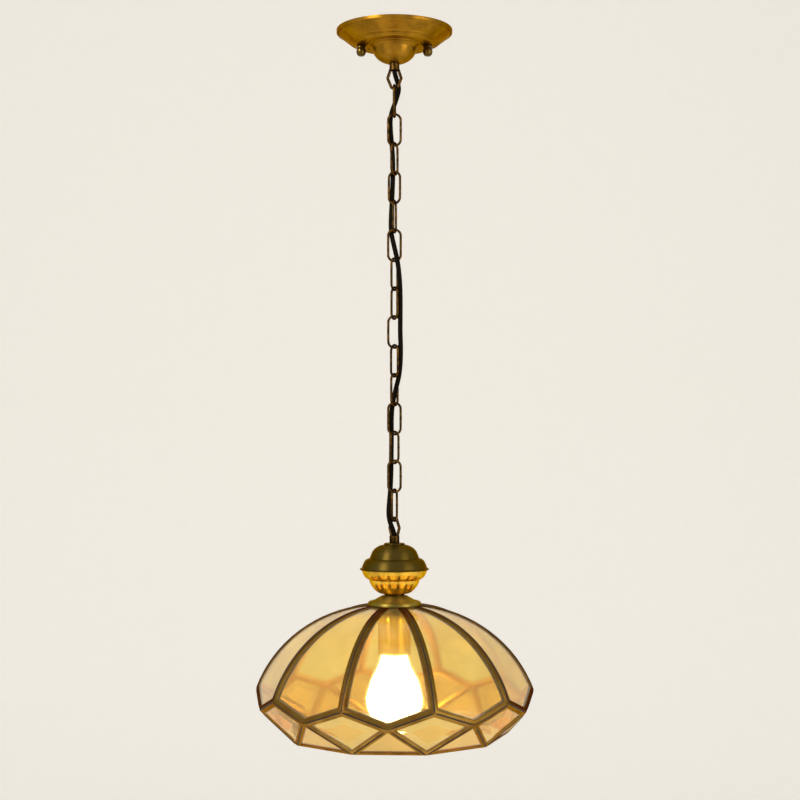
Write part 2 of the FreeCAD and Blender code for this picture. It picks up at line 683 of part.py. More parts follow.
def far_side(point, normal):
    """A large block on the side of a plane that its normal points away from."""
    size = 4 * SHADE_RADIUS
    block = Part.makeBox(size, size, size, V(-size / 2, -size / 2, -size))
    block.Placement = FreeCAD.Placement(point, FreeCAD.Rotation(UP, normal))
    return block


def trimmed(shape, seams, insets):
    """Keep what lies inside every seam plane, each moved inwards by its inset."""
    for (point, normal), inset in zip(seams, insets):
        shape = shape.common(far_side(point - normal * inset, normal))
    return shape


def seam(start, end, lean, inside):
    """Plane through an edge that leans along a direction, its normal pointing away from the inside point."""
    normal = (end - start).cross(lean).normalize()
    if (inside - start).dot(normal) > 0:
        normal = -normal
    return start, normal


def framed(slab, seams, channels, gaps):
    """A pane's brass channel frame and its glass, from a maker of slabs between two depths."""
    frame = trimmed(slab(0, FRAME_DEPTH), seams, gaps)
    frame = frame.cut(trimmed(slab(-OVERRUN, FRAME_DEPTH + OVERRUN), seams, channels))
    low, high = CHANNEL_WALL - GLASS_PLAY, FRAME_DEPTH - CHANNEL_WALL + GLASS_PLAY
    frame = frame.cut(trimmed(slab(low, high), seams, [CHANNEL_WEB] * len(seams)))
    glass = trimmed(slab(CHANNEL_WALL, FRAME_DEPTH - CHANNEL_WALL), seams,
                    [CHANNEL_WEB + GLASS_PLAY] * len(seams))
    return frame, glass


def flat_slab(corners, normal):
    """Maker of flat slabs behind an outer face."""
    middle = sum(corners, V(0, 0, 0)) * (1 / len(corners))

    def slab(near, far):
        big = [middle + (corner - middle) * 1.5 - normal * near for corner in corners]
        return Part.Face(Part.makePolygon(big + big[:1])).extrude(-normal * (far - near))
    return slab


def bent_slab():
    """Maker of slabs bent to the main panes' arcs and straight across."""
    (middle, radius, top_angle, corner_angle), (tip_middle, tip_radius, _, tip_angle) = pane_arcs()
    past_crown = top_angle + OVERRUN_ANGLE
    across = SHADE_RADIUS
    past_tip = V(sin(tip_angle), 0, -cos(tip_angle)) * FRAME_DEPTH

    def point(centre, reach, angle):
        return centre + V(cos(angle), 0, sin(angle)) * reach - V(0, across / 2, 0)

    def side(depth):
        """The slab's edges at one depth, from past the crown to past the tip."""
        top = point(middle, radius - depth, past_crown)
        bend = point(middle, radius - depth, (past_crown + corner_angle) / 2)
        corner = point(middle, radius - depth, corner_angle)
        tip_bend = point(tip_middle, tip_radius - depth, (corner_angle + tip_angle) / 2)
        tip = point(tip_middle, tip_radius - depth, tip_angle)
        end = tip + past_tip
        edges = [Part.Arc(top, bend, corner), Part.Arc(corner, tip_bend, tip), Part.LineSegment(tip, end)]
        return [edge.toShape() for edge in edges], top, end

    def slab(near, far):
        outer, outer_top, outer_tip = side(near)
        inner, inner_top, inner_tip = side(far)
        ends = [Part.LineSegment(outer_top, inner_top), Part.LineSegment(outer_tip, inner_tip)]
        edges = outer + inner + [end.toShape() for end in ends]
        face = Part.Face(Part.Wire(Part.__sortEdges__(edges)))
        return face.extrude(V(0, across, 0))
    return slab


def lozenge_normal():
    return (at(SIDE_CORNER, HALF) - RIB_CORNER).cross(at(SIDE_CORNER, -HALF) - RIB_CORNER).normalize() * -1


def triangle_normal():
    return (at(RIM_CORNER, HALF) - SIDE_CORNER).cross(at(RIM_CORNER, -HALF) - SIDE_CORNER).normalize() * -1


def main_normal():
    """Outward direction of a main pane half way down its zigzag edge, with the pane's middle on +X."""
    _, (_, _, corner_angle, tip_angle) = pane_arcs()
    angle = (corner_angle + tip_angle) / 2
    return V(cos(angle), 0, sin(angle))


def turned_vector(vector, angle):
    x = vector.x * cos(angle) - vector.y * sin(angle)
    y = vector.x * sin(angle) + vector.y * cos(angle)
    return V(x, y, vector.z)


def main_pane():
    """Bent pane: two ribs, the crown edge and the two edges that meet at the side corner."""
    inside = V(SHADE_RADIUS * cos(HALF), 0, PANE_RISE / 4)
    seams = []
    for side in (-1, 1):
        seams.append(seam(V(0, 0, 0), at(RIB_CORNER, side * HALF), UP, inside))
    seams.append(seam(V(PANE_TOP_RADIUS, 0, 0), V(PANE_TOP_RADIUS, SHADE_RADIUS, 0), UP, inside))
    for side in (-1, 1):
        lean = main_normal() + turned_vector(lozenge_normal(), side * HALF)
        seams.append(seam(at(RIB_CORNER, side * HALF), SIDE_CORNER, lean, inside))
    seams.append(tip_seam(inside))
    channels = [RIB_CHANNEL, RIB_CHANNEL, RIB_CHANNEL, ZIGZAG_CHANNEL, ZIGZAG_CHANNEL, ZIGZAG_CHANNEL]
    gaps = [SOLDER_GAP, SOLDER_GAP, 0, SOLDER_GAP, SOLDER_GAP, SOLDER_GAP]
    return framed(bent_slab(), seams, channels, gaps)


def tip_seam(inside):
    """Plane across a side corner that parts the main pane's tip from the triangle's."""
    return seam(SIDE_CORNER, SIDE_CORNER + V(0, 1, 0), main_normal() + triangle_normal(), inside)


def lozenge_pane():
    """Flat bevelled lozenge that hangs from a rib's corner."""
    corners = [RIB_CORNER, at(SIDE_CORNER, HALF), RIM_CORNER, at(SIDE_CORNER, -HALF)]
    normal = lozenge_normal()
    inside = (RIB_CORNER + RIM_CORNER) * 0.5
    seams = []
    for side in (-1, 1):
        neighbour = turned_vector(main_normal(), side * HALF)
        seams.append(seam(RIB_CORNER, at(SIDE_CORNER, side * HALF), normal + neighbour, inside))
        neighbour = turned_vector(triangle_normal(), side * HALF)
        seams.append(seam(at(SIDE_CORNER, side * HALF), RIM_CORNER, normal + neighbour, inside))
    channels = [ZIGZAG_CHANNEL, LOWER_CHANNEL] * 2
    slab = flat_slab(corners, normal)
    frame, glass = framed(slab, seams, channels, [SOLDER_GAP] * len(seams))
    bevels = []
    for (point, outward), channel in zip(seams, channels):
        flat = (outward - normal * outward.dot(normal)).normalize()
        slant = (flat * BEVEL_RISE + normal * BEVEL_WIDTH).normalize()
        bevels.append((point - flat * channel - normal * CHANNEL_WALL, slant))
    raised = trimmed(slab(CHANNEL_WALL - BEVEL_RISE, CHANNEL_WALL), seams,
                     [channel + GLASS_PLAY for channel in channels])
    raised = trimmed(raised, bevels, [0] * len(bevels))
    return frame, glass.fuse(raised).removeSplitter()


def triangle_pane():
    """Flat triangle between two lozenges, its base on the bottom rim."""
    corners = [SIDE_CORNER, at(RIM_CORNER, HALF), at(RIM_CORNER, -HALF)]
    normal = triangle_normal()
    inside = (corners[0] + corners[1] + corners[2]) * (1 / 3)
    seams = []
    for side in (-1, 1):
        neighbour = turned_vector(lozenge_normal(), side * HALF)
        seams.append(seam(SIDE_CORNER, at(RIM_CORNER, side * HALF), normal + neighbour, inside))
    seams.append(seam(corners[1], corners[2], normal, inside))
    seams.append(tip_seam(inside))
    channels = [LOWER_CHANNEL, LOWER_CHANNEL, RIM_CHANNEL, LOWER_CHANNEL]
    return framed(flat_slab(corners, normal), seams, channels, [SOLDER_GAP, SOLDER_GAP, 0, SOLDER_GAP])


def around(shape, offset):
    """Ten copies of a pane in their places; offset is 0 on a rib and 0.5 between two ribs."""
    shape = shape.copy()
    shape.translate(V(0, 0, CORNER_LEVEL))
    return [turn(shape, SHADE_TURN - 90 + STEP * (i + offset)) for i in range(SHADE_SIDES)]


# Lampholder and bulb

def holder_cap():
    """Domed brass cup that screws on the stem."""
    groups = placed(HOLDER_CAP_SHARES, HOLDER_RADIUS, HOLDER_CAP_HEIGHT, HOLDER_TOP)
    groups.insert(0, [(STEM_RADIUS + THREAD_PLAY, HOLDER_TOP), groups[0][0]])
    return spun(groups, HOLDER_WALL)


def holder_sleeve():
    """Brass sleeve round the lampholder, its foot rolled outwards to a bead."""
    tube_wall = ring(HOLDER_RADIUS, HOLDER_RADIUS - HOLDER_WALL, SLEEVE_TOP, SLEEVE_LENGTH)
    bead = Part.makeTorus(HOLDER_RADIUS - HOLDER_WALL / 2, SLEEVE_BEAD_RADIUS,
                          V(0, 0, SLEEVE_TOP - SLEEVE_LENGTH + SLEEVE_BEAD_RADIUS))
    return tube_wall.fuse(bead).removeSplitter()


def holder_insert():
    """Porcelain cup that holds the contacts."""
    outer = HOLDER_RADIUS - HOLDER_WALL - GLASS_PLAY
    cup = ring(outer, 0, SLEEVE_TOP, INSERT_LENGTH)
    bore = Part.makeCylinder(
        SHELL_RADIUS + SHELL_WALL, INSERT_LENGTH - INSERT_FLOOR, V(0, 0, SLEEVE_TOP - INSERT_LENGTH))
    return cup.cut(bore)


def screw_shell():
    return ring(SHELL_RADIUS + SHELL_WALL, SHELL_RADIUS, CONTACT_TOP, SHELL_LENGTH)


def centre_contact():
    return ring(CONTACT_RADIUS, 0, CONTACT_TOP, CONTACT_THICKNESS)


def bulb_tip():
    return ring(BULB_TIP_RADIUS, 0, BULB_TOP, BULB_TIP_HEIGHT)


def bulb_insulator():
    """Cone of insulator between the tip and the screw cap."""
    foot_radius = BULB_CAP_RADIUS * BULB_CAP_SHARES[0][0][0]
    return turned([(0, INSULATOR_TOP), (BULB_TIP_RADIUS, INSULATOR_TOP), (foot_radius, BULB_CAP_TOP),
                   (0, BULB_CAP_TOP)])


def bulb_cap():
    """Thin screw cap, closed at its top by the insulator."""
    return spun(placed(BULB_CAP_SHARES, BULB_CAP_RADIUS, BULB_CAP_LENGTH, BULB_CAP_TOP), BULB_CAP_WALL)


def bulb_glass():
    """Blown envelope with its neck in the cap."""
    return spun(placed(GLASS_BULB_SHARES, BULB_RADIUS, BULB_GLASS_LENGTH, BULB_GLASS_TOP), BULB_GLASS_WALL)


def bulb_mount():
    """Glass stem inside the bulb with its two support wires and the filament between them."""
    neck = BULB_RADIUS * GLASS_BULB_SHARES[0][0][0] - BULB_GLASS_WALL - GLASS_PLAY
    stem_foot = BULB_GLASS_TOP - BULB_STEM_LENGTH
    flare = BULB_STEM_RADIUS + neck / 3
    stem = turned([(0, BULB_GLASS_TOP), (neck, BULB_GLASS_TOP), (neck, BULB_GLASS_TOP - BULB_GLASS_WALL),
                   (BULB_STEM_RADIUS, BULB_GLASS_TOP - flare), (BULB_STEM_RADIUS, stem_foot), (0, stem_foot)])
    root = BULB_STEM_RADIUS / 2
    low = stem_foot - FILAMENT_DROP
    half = [(root, stem_foot + root), (root, stem_foot - root), (FILAMENT_SPREAD, low)]
    points = [(-x, 0, z) for x, z in half] + [(x, 0, z) for x, z in reversed(half)]
    bends = [4 * SUPPORT_RADIUS] * (len(points) - 2)
    wire = tube(rounded_path(points, bends), SUPPORT_RADIUS)
    reach = FILAMENT_SPREAD - bends[0]
    filament = Part.makeCylinder(FILAMENT_RADIUS, 2 * reach, V(-reach, 0, low), V(1, 0, 0))
    return stem.fuse([wire, filament]).removeSplitter()


def main():
    os.makedirs("parts", exist_ok=True)
    save("crossbar", crossbar())
    save("crossbar_studs", *studs())
    save("stud_lock_nuts", *lock_nuts())
    save("canopy", canopy())
    save("cap_nut_left", cap_nut(-1))
    save("cap_nut_right", cap_nut(1))
    save("canopy_nipple", canopy_nipple())
    save("canopy_washer", canopy_washer())
    save("canopy_nut", canopy_nut())
    save("terminal_block", terminal_block())
    save("terminal_screws", *block_screws())
    save("earth_screw", earth_screw())
    save("cord_cores", *cord_cores())
    save("top_loop", loop(TOP_COLLAR_FACE, -1, TOP_LOOP_TURN))
    for index in range(len(LINK_TURNS)):
        save("chain_link_%02d" % (index + 1), chain_link(index))
    save("supply_cord", supply_cord())
    save("lower_loop", loop(LOWER_COLLAR_FACE, 1, LOWER_LOOP_TURN))
    save("seat_disc", seat_disc())
    save("upper_cap", upper_cap())
    save("lower_cap", lower_cap())
    save("neck_ring", neck_ring())
    save("shade_collar", shade_collar())
    save("body_stem", body_stem())
    save("crown_disc", crown_disc())
    save("clamp_washer", clamp_washer())
    save("stem_nut", stem_nut())
    frame, glass = main_pane()
    save("main_pane_frames", *around(frame, 0.5))
    save("main_panes", *around(glass, 0.5))
    frame, glass = lozenge_pane()
    save("lozenge_frames", *around(frame, 0))
    save("lozenge_panes", *around(glass, 0))
    frame, glass = triangle_pane()
    save("triangle_frames", *around(frame, 0.5))
    save("triangle_panes", *around(glass, 0.5))
    save("holder_cap", holder_cap())
    save("holder_sleeve", holder_sleeve())
    save("holder_insert", holder_insert())
    save("screw_shell", screw_shell())
    save("centre_contact", centre_contact())
    save("bulb_tip", bulb_tip())
    save("bulb_insulator", bulb_insulator())
    save("bulb_cap", bulb_cap())
    save("bulb_glass", bulb_glass())
    save("bulb_mount", bulb_mount())


main()
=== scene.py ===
"""Pendant light: the looks of its brass canopy, laced chain, turned body and ten-sided glass shade."""

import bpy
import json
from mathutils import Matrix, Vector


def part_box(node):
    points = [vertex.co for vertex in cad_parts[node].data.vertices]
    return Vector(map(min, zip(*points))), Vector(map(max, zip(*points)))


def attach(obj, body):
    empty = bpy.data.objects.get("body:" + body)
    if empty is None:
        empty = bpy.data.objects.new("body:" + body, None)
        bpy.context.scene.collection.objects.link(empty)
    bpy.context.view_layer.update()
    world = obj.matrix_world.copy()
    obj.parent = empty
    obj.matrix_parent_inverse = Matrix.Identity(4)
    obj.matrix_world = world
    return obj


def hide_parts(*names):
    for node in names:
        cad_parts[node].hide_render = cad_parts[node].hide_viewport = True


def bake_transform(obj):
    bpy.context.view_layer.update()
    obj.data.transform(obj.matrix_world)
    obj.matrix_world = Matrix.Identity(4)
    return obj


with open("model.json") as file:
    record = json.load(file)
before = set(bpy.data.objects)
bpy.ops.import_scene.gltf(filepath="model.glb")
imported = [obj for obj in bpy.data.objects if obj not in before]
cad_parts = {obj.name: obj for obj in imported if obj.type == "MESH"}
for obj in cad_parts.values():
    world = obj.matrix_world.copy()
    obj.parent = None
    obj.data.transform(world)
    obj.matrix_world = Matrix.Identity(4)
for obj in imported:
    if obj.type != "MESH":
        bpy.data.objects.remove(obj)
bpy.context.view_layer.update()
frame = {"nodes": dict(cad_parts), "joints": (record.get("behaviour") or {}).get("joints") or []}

import json
from math import cos, pi, radians, sin

import bpy
from mathutils import Vector

bl_info = {
    "name": "Pendant Light",
    "version": (1, 0, 0),
    "blender": (4, 5, 0),
    "location": "3D View > Sidebar > Pendant",
    "description": "Builds a chain-hung brass and glass pendant light on its packed frame",
    "category": "Add Mesh",
}

MM = 0.001

# The studio in metres: a square floor that curves up into a wall behind the light
FLOOR_SIZE = 40.0
SWEEP_START = 2.6
SWEEP_RADIUS = 1.2
SWEEP_WALL = 3.0
# Each lamp's name, place, width and share of the power, and the point that both are turned to
LAMPS = (
    ("key_light", (-1.5, -1.6, 0.7), 1.1, 1.0),
    ("fill_light", (1.7, -1.3, -0.2), 1.3, 0.45),
)
LAMP_TARGET = (0.0, 0.0, -0.4)
# The camera's place in metres, its lens and sensor in mm, and its shift as a share of the frame
CAMERA_PLACE = (0.006, -1.621, -0.442)
CAMERA_LENS = 67.6
SENSOR_WIDTH = 36.0
CAMERA_SHIFT = 0.05

# Corners of the shade in mm: radius, and height above the level of the ribs' lower ends
CORNER_LEVEL = -710.7
RIB_CORNER = (150.0, 0.0)
SIDE_CORNER = (147.18, -16.2)
RIM_CORNER = (120.6, -47.5)
# Directions of the first rib and from each rib to the next, in degrees round the light
SHADE_SIDES = 10
FIRST_RIB = -74.4
RIB_STEP = 360.0 / SHADE_SIDES
# Arc of the outer face half way between two ribs: middle as radius and height, radius, both end angles
RIB_ARC = (13.83, -44.66, 136.35, 84.0, 19.6)
RIB_ARC_STEPS = 16
# A seam's runs as shares of the way and depths below the surface in mm, and the way in from the surface
RIB_SINK = 0.55
ZIGZAG_RUN = ((0.0, 1.1), (0.12, 0.4), (0.75, 0.4), (1.0, 1.15))
ZIGZAG_INWARD = (-1.0, 0.0)
LOWER_RUN = ((0.0, 1.15), (0.2, 0.35), (0.95, 0.4))
LOWER_INWARD = (-0.76, 0.65)
# Upward share of the lozenges' outward normal, and how far the bevelled border's normals are from it
LOZENGE_LEAN = -0.53
BORDER_SLOPE = 0.05
# Outward shares of a face's normal: less is the channels' inner side, painted as lit by the bulb, more is the
# lozenges' outer side
CHANNEL_INNER = -0.3
LOZENGE_OUTER = 0.7

# The weld of a link in mm: levels of the cuts, half its height, and its thickness against the wire's
WELD_LEVELS = (-1.2, -0.6, 0.6, 1.2)
WELD_HALF = 0.7
WELD_GROWTH = 1.09
# Vertices of a link that stay at its middle when its ends are drawn apart: how near they lie, in metres
LINK_MIDDLE = 1e-5
# Wall of the bulb's glass in mm
BULB_WALL = 0.8

# Colours that the metals take at a glancing angle
BRASS_EDGE = "#DCBC6C"
BRONZE_EDGE = "#967440"
CHANNEL_EDGE = "#A08446"
LOWER_CHANNEL_EDGE = "#C8A050"
# Features of the textures for each metre
RING_SCALE = 1250.0
PATCH_SCALE = 42.0
SPECK_SCALE = 900.0
GRAIN_SCALE = 1400.0
WAVE_SCALE = 40.0
FILM_SCALE = 24.0
CLOUD_SCALE = 60.0
FIBRE_SCALE = 30.0

# Mesh tools: radius in metres at the tip of a turned outline, gaps in metres that are merged, and how flat in
# degrees two faces of a CAD mesh lie where they are one
TIP_RADIUS = 1e-6
TURNED_GAP = 2e-6
NODE_GAP = 5e-6
FLAT_ANGLE = 0.4

# Turned outlines in mm: radius and depth below the piece's top; two points make a straight run, more a curve
CANOPY_OUTLINE = [
    [(62.5, 0.0), (62.5, 2.6)],
    [(62.5, 2.6), (62.3, 3.4), (61.6, 3.9), (60.9, 3.6)],
    [(60.9, 3.6), (60.5, 3.1)],
    [(60.5, 3.1), (60.0, 4.6)],
    [(60.0, 4.6), (58.0, 6.3), (54.0, 9.6), (49.6, 12.6)],
    [(49.6, 12.6), (49.2, 13.3), (48.4, 13.6), (47.9, 13.3)],
    [(47.9, 13.3), (46.6, 14.0), (45.6, 14.3)],
    [(45.6, 14.3), (45.2, 15.0), (44.4, 15.2), (43.9, 14.9)],
    [(43.9, 14.9), (43.4, 15.2), (42.75, 16.05), (42.0, 16.6), (41.2, 16.8)],
    [(41.2, 16.8), (31.4, 16.8)],
    [(31.4, 16.8), (30.9, 17.5), (29.8, 17.7), (29.0, 17.2)],
    [(29.0, 17.2), (27.2, 17.8), (25.5, 19.2)],
    [(25.5, 19.2), (24.2, 20.5), (23.0, 23.7), (20.75, 28.0), (16.4, 32.05), (11.5, 34.56), (7.5, 35.4)],
    [(7.5, 35.4), (4.05, 35.4)],
]
CAP_NUT_OUTLINE = [
    [(2.05, 0.0), (4.5, 0.0)],
    [(4.5, 0.0), (4.78, 0.3)],
    [(4.78, 0.3), (4.78, 2.4)],
    [(4.78, 2.4), (4.3, 2.8), (4.8, 3.3)],
    [(4.8, 3.3), (5.15, 4.6), (5.15, 7.2), (4.4, 9.5), (2.6, 11.0), (0.0, 11.4)],
]
SEAT_DISC_OUTLINE = [
    [(4.05, 0.0), (10.6, 0.0)],
    [(10.6, 0.0), (11.2, 0.5), (11.2, 1.1), (10.7, 1.6)],
    [(10.7, 1.6), (4.05, 1.6)],
]
UPPER_CAP_OUTLINE = [
    [(4.05, 0.0), (11.47, 0.0)],
    [(11.47, 0.0), (16.28, 1.3), (20.7, 3.9), (23.7, 7.25), (25.7, 11.65), (26.8, 14.8)],
    [(26.8, 14.8), (28.7, 15.2)],
    [(28.7, 15.2), (31.45, 16.8), (33.7, 20.5), (35.0, 24.1)],
    [(35.0, 24.1), (35.7, 25.5), (37.3, 25.9)],
]
LOWER_CAP_OUTLINE = [
    [(35.3, 0.0), (34.2, 4.16), (31.9, 7.8), (28.9, 10.1)],
    [(28.9, 10.1), (27.4, 10.7)],
    [(27.4, 10.7), (26.2, 14.6), (23.4, 19.2), (19.9, 22.9), (16.3, 25.0), (11.8, 26.0)],
    [(11.8, 26.0), (4.05, 26.0)],
]
NECK_OUTLINE = [
    [(4.05, 0.0), (10.2, 0.0)],
    [(10.2, 0.0), (10.8, 0.5), (10.8, 1.3), (10.2, 1.8)],
    [(10.2, 1.8), (4.05, 1.8)],
]
COLLAR_OUTLINE = [
    [(4.05, 0.0), (13.4, 0.0)],
    [(13.4, 0.0), (13.9, 0.25)],
    [(13.9, 0.25), (24.0, 5.94)],
    [(24.0, 5.94), (24.4, 5.7), (26.4, 5.94), (28.2, 6.93), (28.8, 8.3)],
    [(28.8, 8.3), (28.8, 9.9)],
]
HOLDER_CAP_OUTLINE = [
    [(4.05, 0.0), (8.75, 0.0)],
    [(8.75, 0.0), (15.05, 2.75), (17.5, 7.5)],
    [(17.5, 7.5), (17.5, 12.5)],
]
HOLDER_SLEEVE_OUTLINE = [
    [(17.5, 0.0), (17.5, 31.4)],
    [(17.5, 31.4), (17.9, 31.8), (18.1, 32.5), (17.8, 33.2), (17.1, 33.5), (16.7, 33.1)],
]
BULB_OUTLINE = [
    [(13.2, 0.0), (14.1, 6.4), (18.6, 19.3), (25.8, 33.8), (30.0, 50.7)],
    [(30.0, 50.7), (29.1, 60.0), (24.0, 71.2), (15.0, 78.1), (7.0, 80.1), (0.0, 80.5)],
]

# Turn of each chain link about the chain's line, in degrees
LINK_TURNS = [85, 5, 61, -27, 77, -2, 62, -62, 12, -57, 60, -9, 50, -9, 67]

# The cord's route in metres: out of the top loop, laced down the chain and into the lower loop
CORD_ROUTE = [
    (0.0, 0.0, -0.02),
    (0.0, 0.0, -0.04),
    (0.0, 0.0, -0.045),
    (0.002, 0.0026, -0.0515),
    (0.0041, 0.0047, -0.0575),
    (0.0049, 0.0044, -0.064),
    (0.0012, 0.0021, -0.0765),
    (-0.0047, 0.0041, -0.0921),
    (-0.0042, 0.0051, -0.1077),
    (-0.0027, 0.0058, -0.1232),
    (-0.0016, 0.0062, -0.1388),
    (-0.0016, 0.0063, -0.1544),
    (-0.0021, 0.0062, -0.17),
    (-0.0028, 0.0061, -0.1856),
    (-0.0037, 0.0058, -0.2011),
    (-0.0039, 0.0049, -0.2167),
    (-0.0005, -0.0001, -0.2323),
    (0.0031, -0.0047, -0.2478),
    (0.0052, -0.0043, -0.2634),
    (0.0062, -0.0026, -0.279),
    (0.0064, -0.0022, -0.2946),
    (0.0063, -0.003, -0.3102),
    (0.0062, -0.0033, -0.3257),
    (0.0068, -0.0029, -0.3413),
    (0.0066, -0.0014, -0.3569),
    (0.0052, 0.0003, -0.3724),
    (0.0012, 0.0022, -0.388),
    (-0.0024, 0.0049, -0.4036),
    (-0.0033, 0.0057, -0.4192),
    (-0.0032, 0.0057, -0.4347),
    (-0.0032, 0.0056, -0.4503),
    (-0.0035, 0.0056, -0.4659),
    (-0.0037, 0.0057, -0.4815),
    (-0.0045, 0.0052, -0.497),
    (-0.0061, 0.0014, -0.5142),
    (-0.0062, -0.0006, -0.5232),
    (-0.005, -0.0012, -0.5302),
    (-0.0022, -0.0007, -0.5372),
    (0.0, 0.0, -0.5438),
    (0.0, 0.0, -0.5488),
    (0.0, 0.0, -0.622),
]


def linear(code):
    """An sRGB hex colour as linear red, green, blue and alpha."""
    shares = [int(code[i:i + 2], 16) / 255 for i in (1, 3, 5)]
    return tuple(c / 12.92 if c <= 0.04045 else ((c + 0.055) / 1.055) ** 2.4 for c in shares) + (1.0,)


def grey(value):
    return (value, value, value, 1.0)


def colour(name, description, code):
    return bpy.props.FloatVectorProperty(
        name=name, description=description, subtype="COLOR", size=4, min=0.0, max=1.0, default=linear(code))


def length(name, description, default):
    return bpy.props.FloatProperty(
        name=name, description=description, default=default, min=0.0, unit="LENGTH", precision=5)


class PendantFinishes(bpy.types.PropertyGroup):
    """Colours of the pendant's finishes."""
    brass: colour("Brass", "Lacquered brass of the canopy", "#9E7220")
    brass_dull: colour("Dull brass", "Brass where the lacquer has yellowed", "#64450E")
    # The lower cap's brass is a brighter copy of the canopy's: painted light of the bulb
    brass_lit_by_bulb: colour("Bright brass", "Brass of the lower cap, brighter as painted light of the bulb", "#F4C244")
    # The lampholder's brass is paler still: polished, and painted light of the bulb
    brass_pale_lit: colour("Pale brass", "Polished brass of the lampholder, paler as painted light of the bulb", "#FFE888")
    # The upper cap's brass is a darker copy of the canopy's: painted shade
    brass_shaded: colour("Dark brass", "Brass of the upper cap, darker as painted shade", "#544216")
    brass_collar: colour("Collar brass", "Greenish brass of the shade's collar", "#96823A")
    brass_olive: colour("Olive brass", "Tarnish of the upper cap and the collar", "#554820")
    bronze: colour("Bronze", "Dark bronze of the loops and the chain", "#2A200F")
    bronze_worn: colour("Worn bronze", "Bronze rubbed bare", "#6C4C20")
    channel: colour("Channel", "Olive tarnish of the shade's brass channels", "#705826")
    # Inside the shade the channels take bright brass: painted light of the bulb
    channel_inside_lit: colour("Channel inside", "Brass inside the shade, bright as painted light of the bulb", "#E6C070")
    channel_warm: colour("Warm channel", "Browner brass of the shade's channels", "#684418")
    lower_channel: colour("Lower channel", "Warmer brass round the lozenges and triangles", "#A27C3C")
    seam: colour("Seam", "Dark line of solder between two channels", "#130D07")
    glass: colour("Glass", "Straw glass of the bent panes", "#FFECA6")
    lower_glass: colour("Lower glass", "Deeper straw glass of the lozenges and triangles", "#FFD36E")
    border: colour("Border", "Bevelled border of the lozenges", "#FFE28C")
    cord: colour("Cord", "Sheath of the supply cord", "#120C07")
    glow: colour("Glow", "Light of the bulb", "#FFEBCC")


class PendantSizes(bpy.types.PropertyGroup):
    """Sizes that the pendant's details take."""
    link_wire: length("Link wire", "Radius of the chain's wire", 1.3 * MM)
    link_width: length("Link width", "Width of a link over its wires", 16.2 * MM)
    cord_radius: length("Cord radius", "Radius of the supply cord", 2.6 * MM)
    cap_wall: length("Cap wall", "Wall of the turned caps", 1.2 * MM)
    sheet_wall: length("Sheet wall", "Wall of the canopy, the collar and the lampholder", 0.9 * MM)
    channel_edge: length("Channel edge", "Rounding of the shade's channels", 0.5 * MM)
    seam_radius: length("Seam radius", "Radius of the solder between two channels", 0.85 * MM)


class PendantStudio(bpy.types.PropertyGroup):
    """Floor, light and camera."""
    floor_level: bpy.props.FloatProperty(
        name="Floor level", description="Height of the studio floor", default=-1.5, unit="LENGTH")
    light_power: bpy.props.FloatProperty(
        name="Light power", description="Power of the main lamp in watts", default=34.0, min=0.0,
        unit="POWER")
    ambient: bpy.props.FloatProperty(
        name="Ambient", description="Strength of the room's own light", default=0.55, min=0.0,
        subtype="FACTOR")
    bulb_strength: bpy.props.FloatProperty(
        name="Bulb strength", description="How brightly the bulb glows", default=14.0, min=0.0)


# Mesh tools

def activate(piece):
    bpy.ops.object.select_all(action="DESELECT")
    piece.select_set(True)
    bpy.context.view_layer.objects.active = piece


def pick(piece, mode, test):
    """In edit mode, select the vertices or edges that pass a test."""
    bpy.ops.object.mode_set(mode="EDIT")
    bpy.ops.mesh.select_mode(type=mode)
    bpy.ops.mesh.select_all(action="DESELECT")
    bpy.ops.object.mode_set(mode="OBJECT")
    items = {"VERT": piece.data.vertices, "EDGE": piece.data.edges}[mode]
    for item in items:
        item.select = test(item)
    bpy.ops.object.mode_set(mode="EDIT")


def finish_mesh(piece, name, angle=32):
    """Name the piece, put its place into its mesh and shade it smooth up to an angle."""
    bpy.ops.object.mode_set(mode="OBJECT")
    activate(piece)
    bpy.ops.object.transform_apply(location=True, rotation=True, scale=True)
    bpy.ops.object.shade_smooth_by_angle(angle=radians(angle))
    piece.name = name
    piece.data.name = name
    return piece


def smooth_points(points, steps=5):
    """Points along a smooth line through the given ones."""
    if len(points) == 2:
        return [Vector(p) for p in points]
    ends = [Vector(points[0])] + [Vector(p) for p in points] + [Vector(points[-1])]
    line = []
    for a, b, c, d in zip(ends, ends[1:], ends[2:], ends[3:]):
        for step in range(steps):
            t = step / steps
            line.append(0.5 * (2 * b + (c - a) * t + (2 * a - 5 * b + 4 * c - d) * t * t
                               + (3 * b - a - 3 * c + d) * t * t * t))
    return line + [ends[-1]]


def flat_outline(groups):
    line = []
    for group in groups:
        line += smooth_points(group)[1 if line else 0:]
    return line


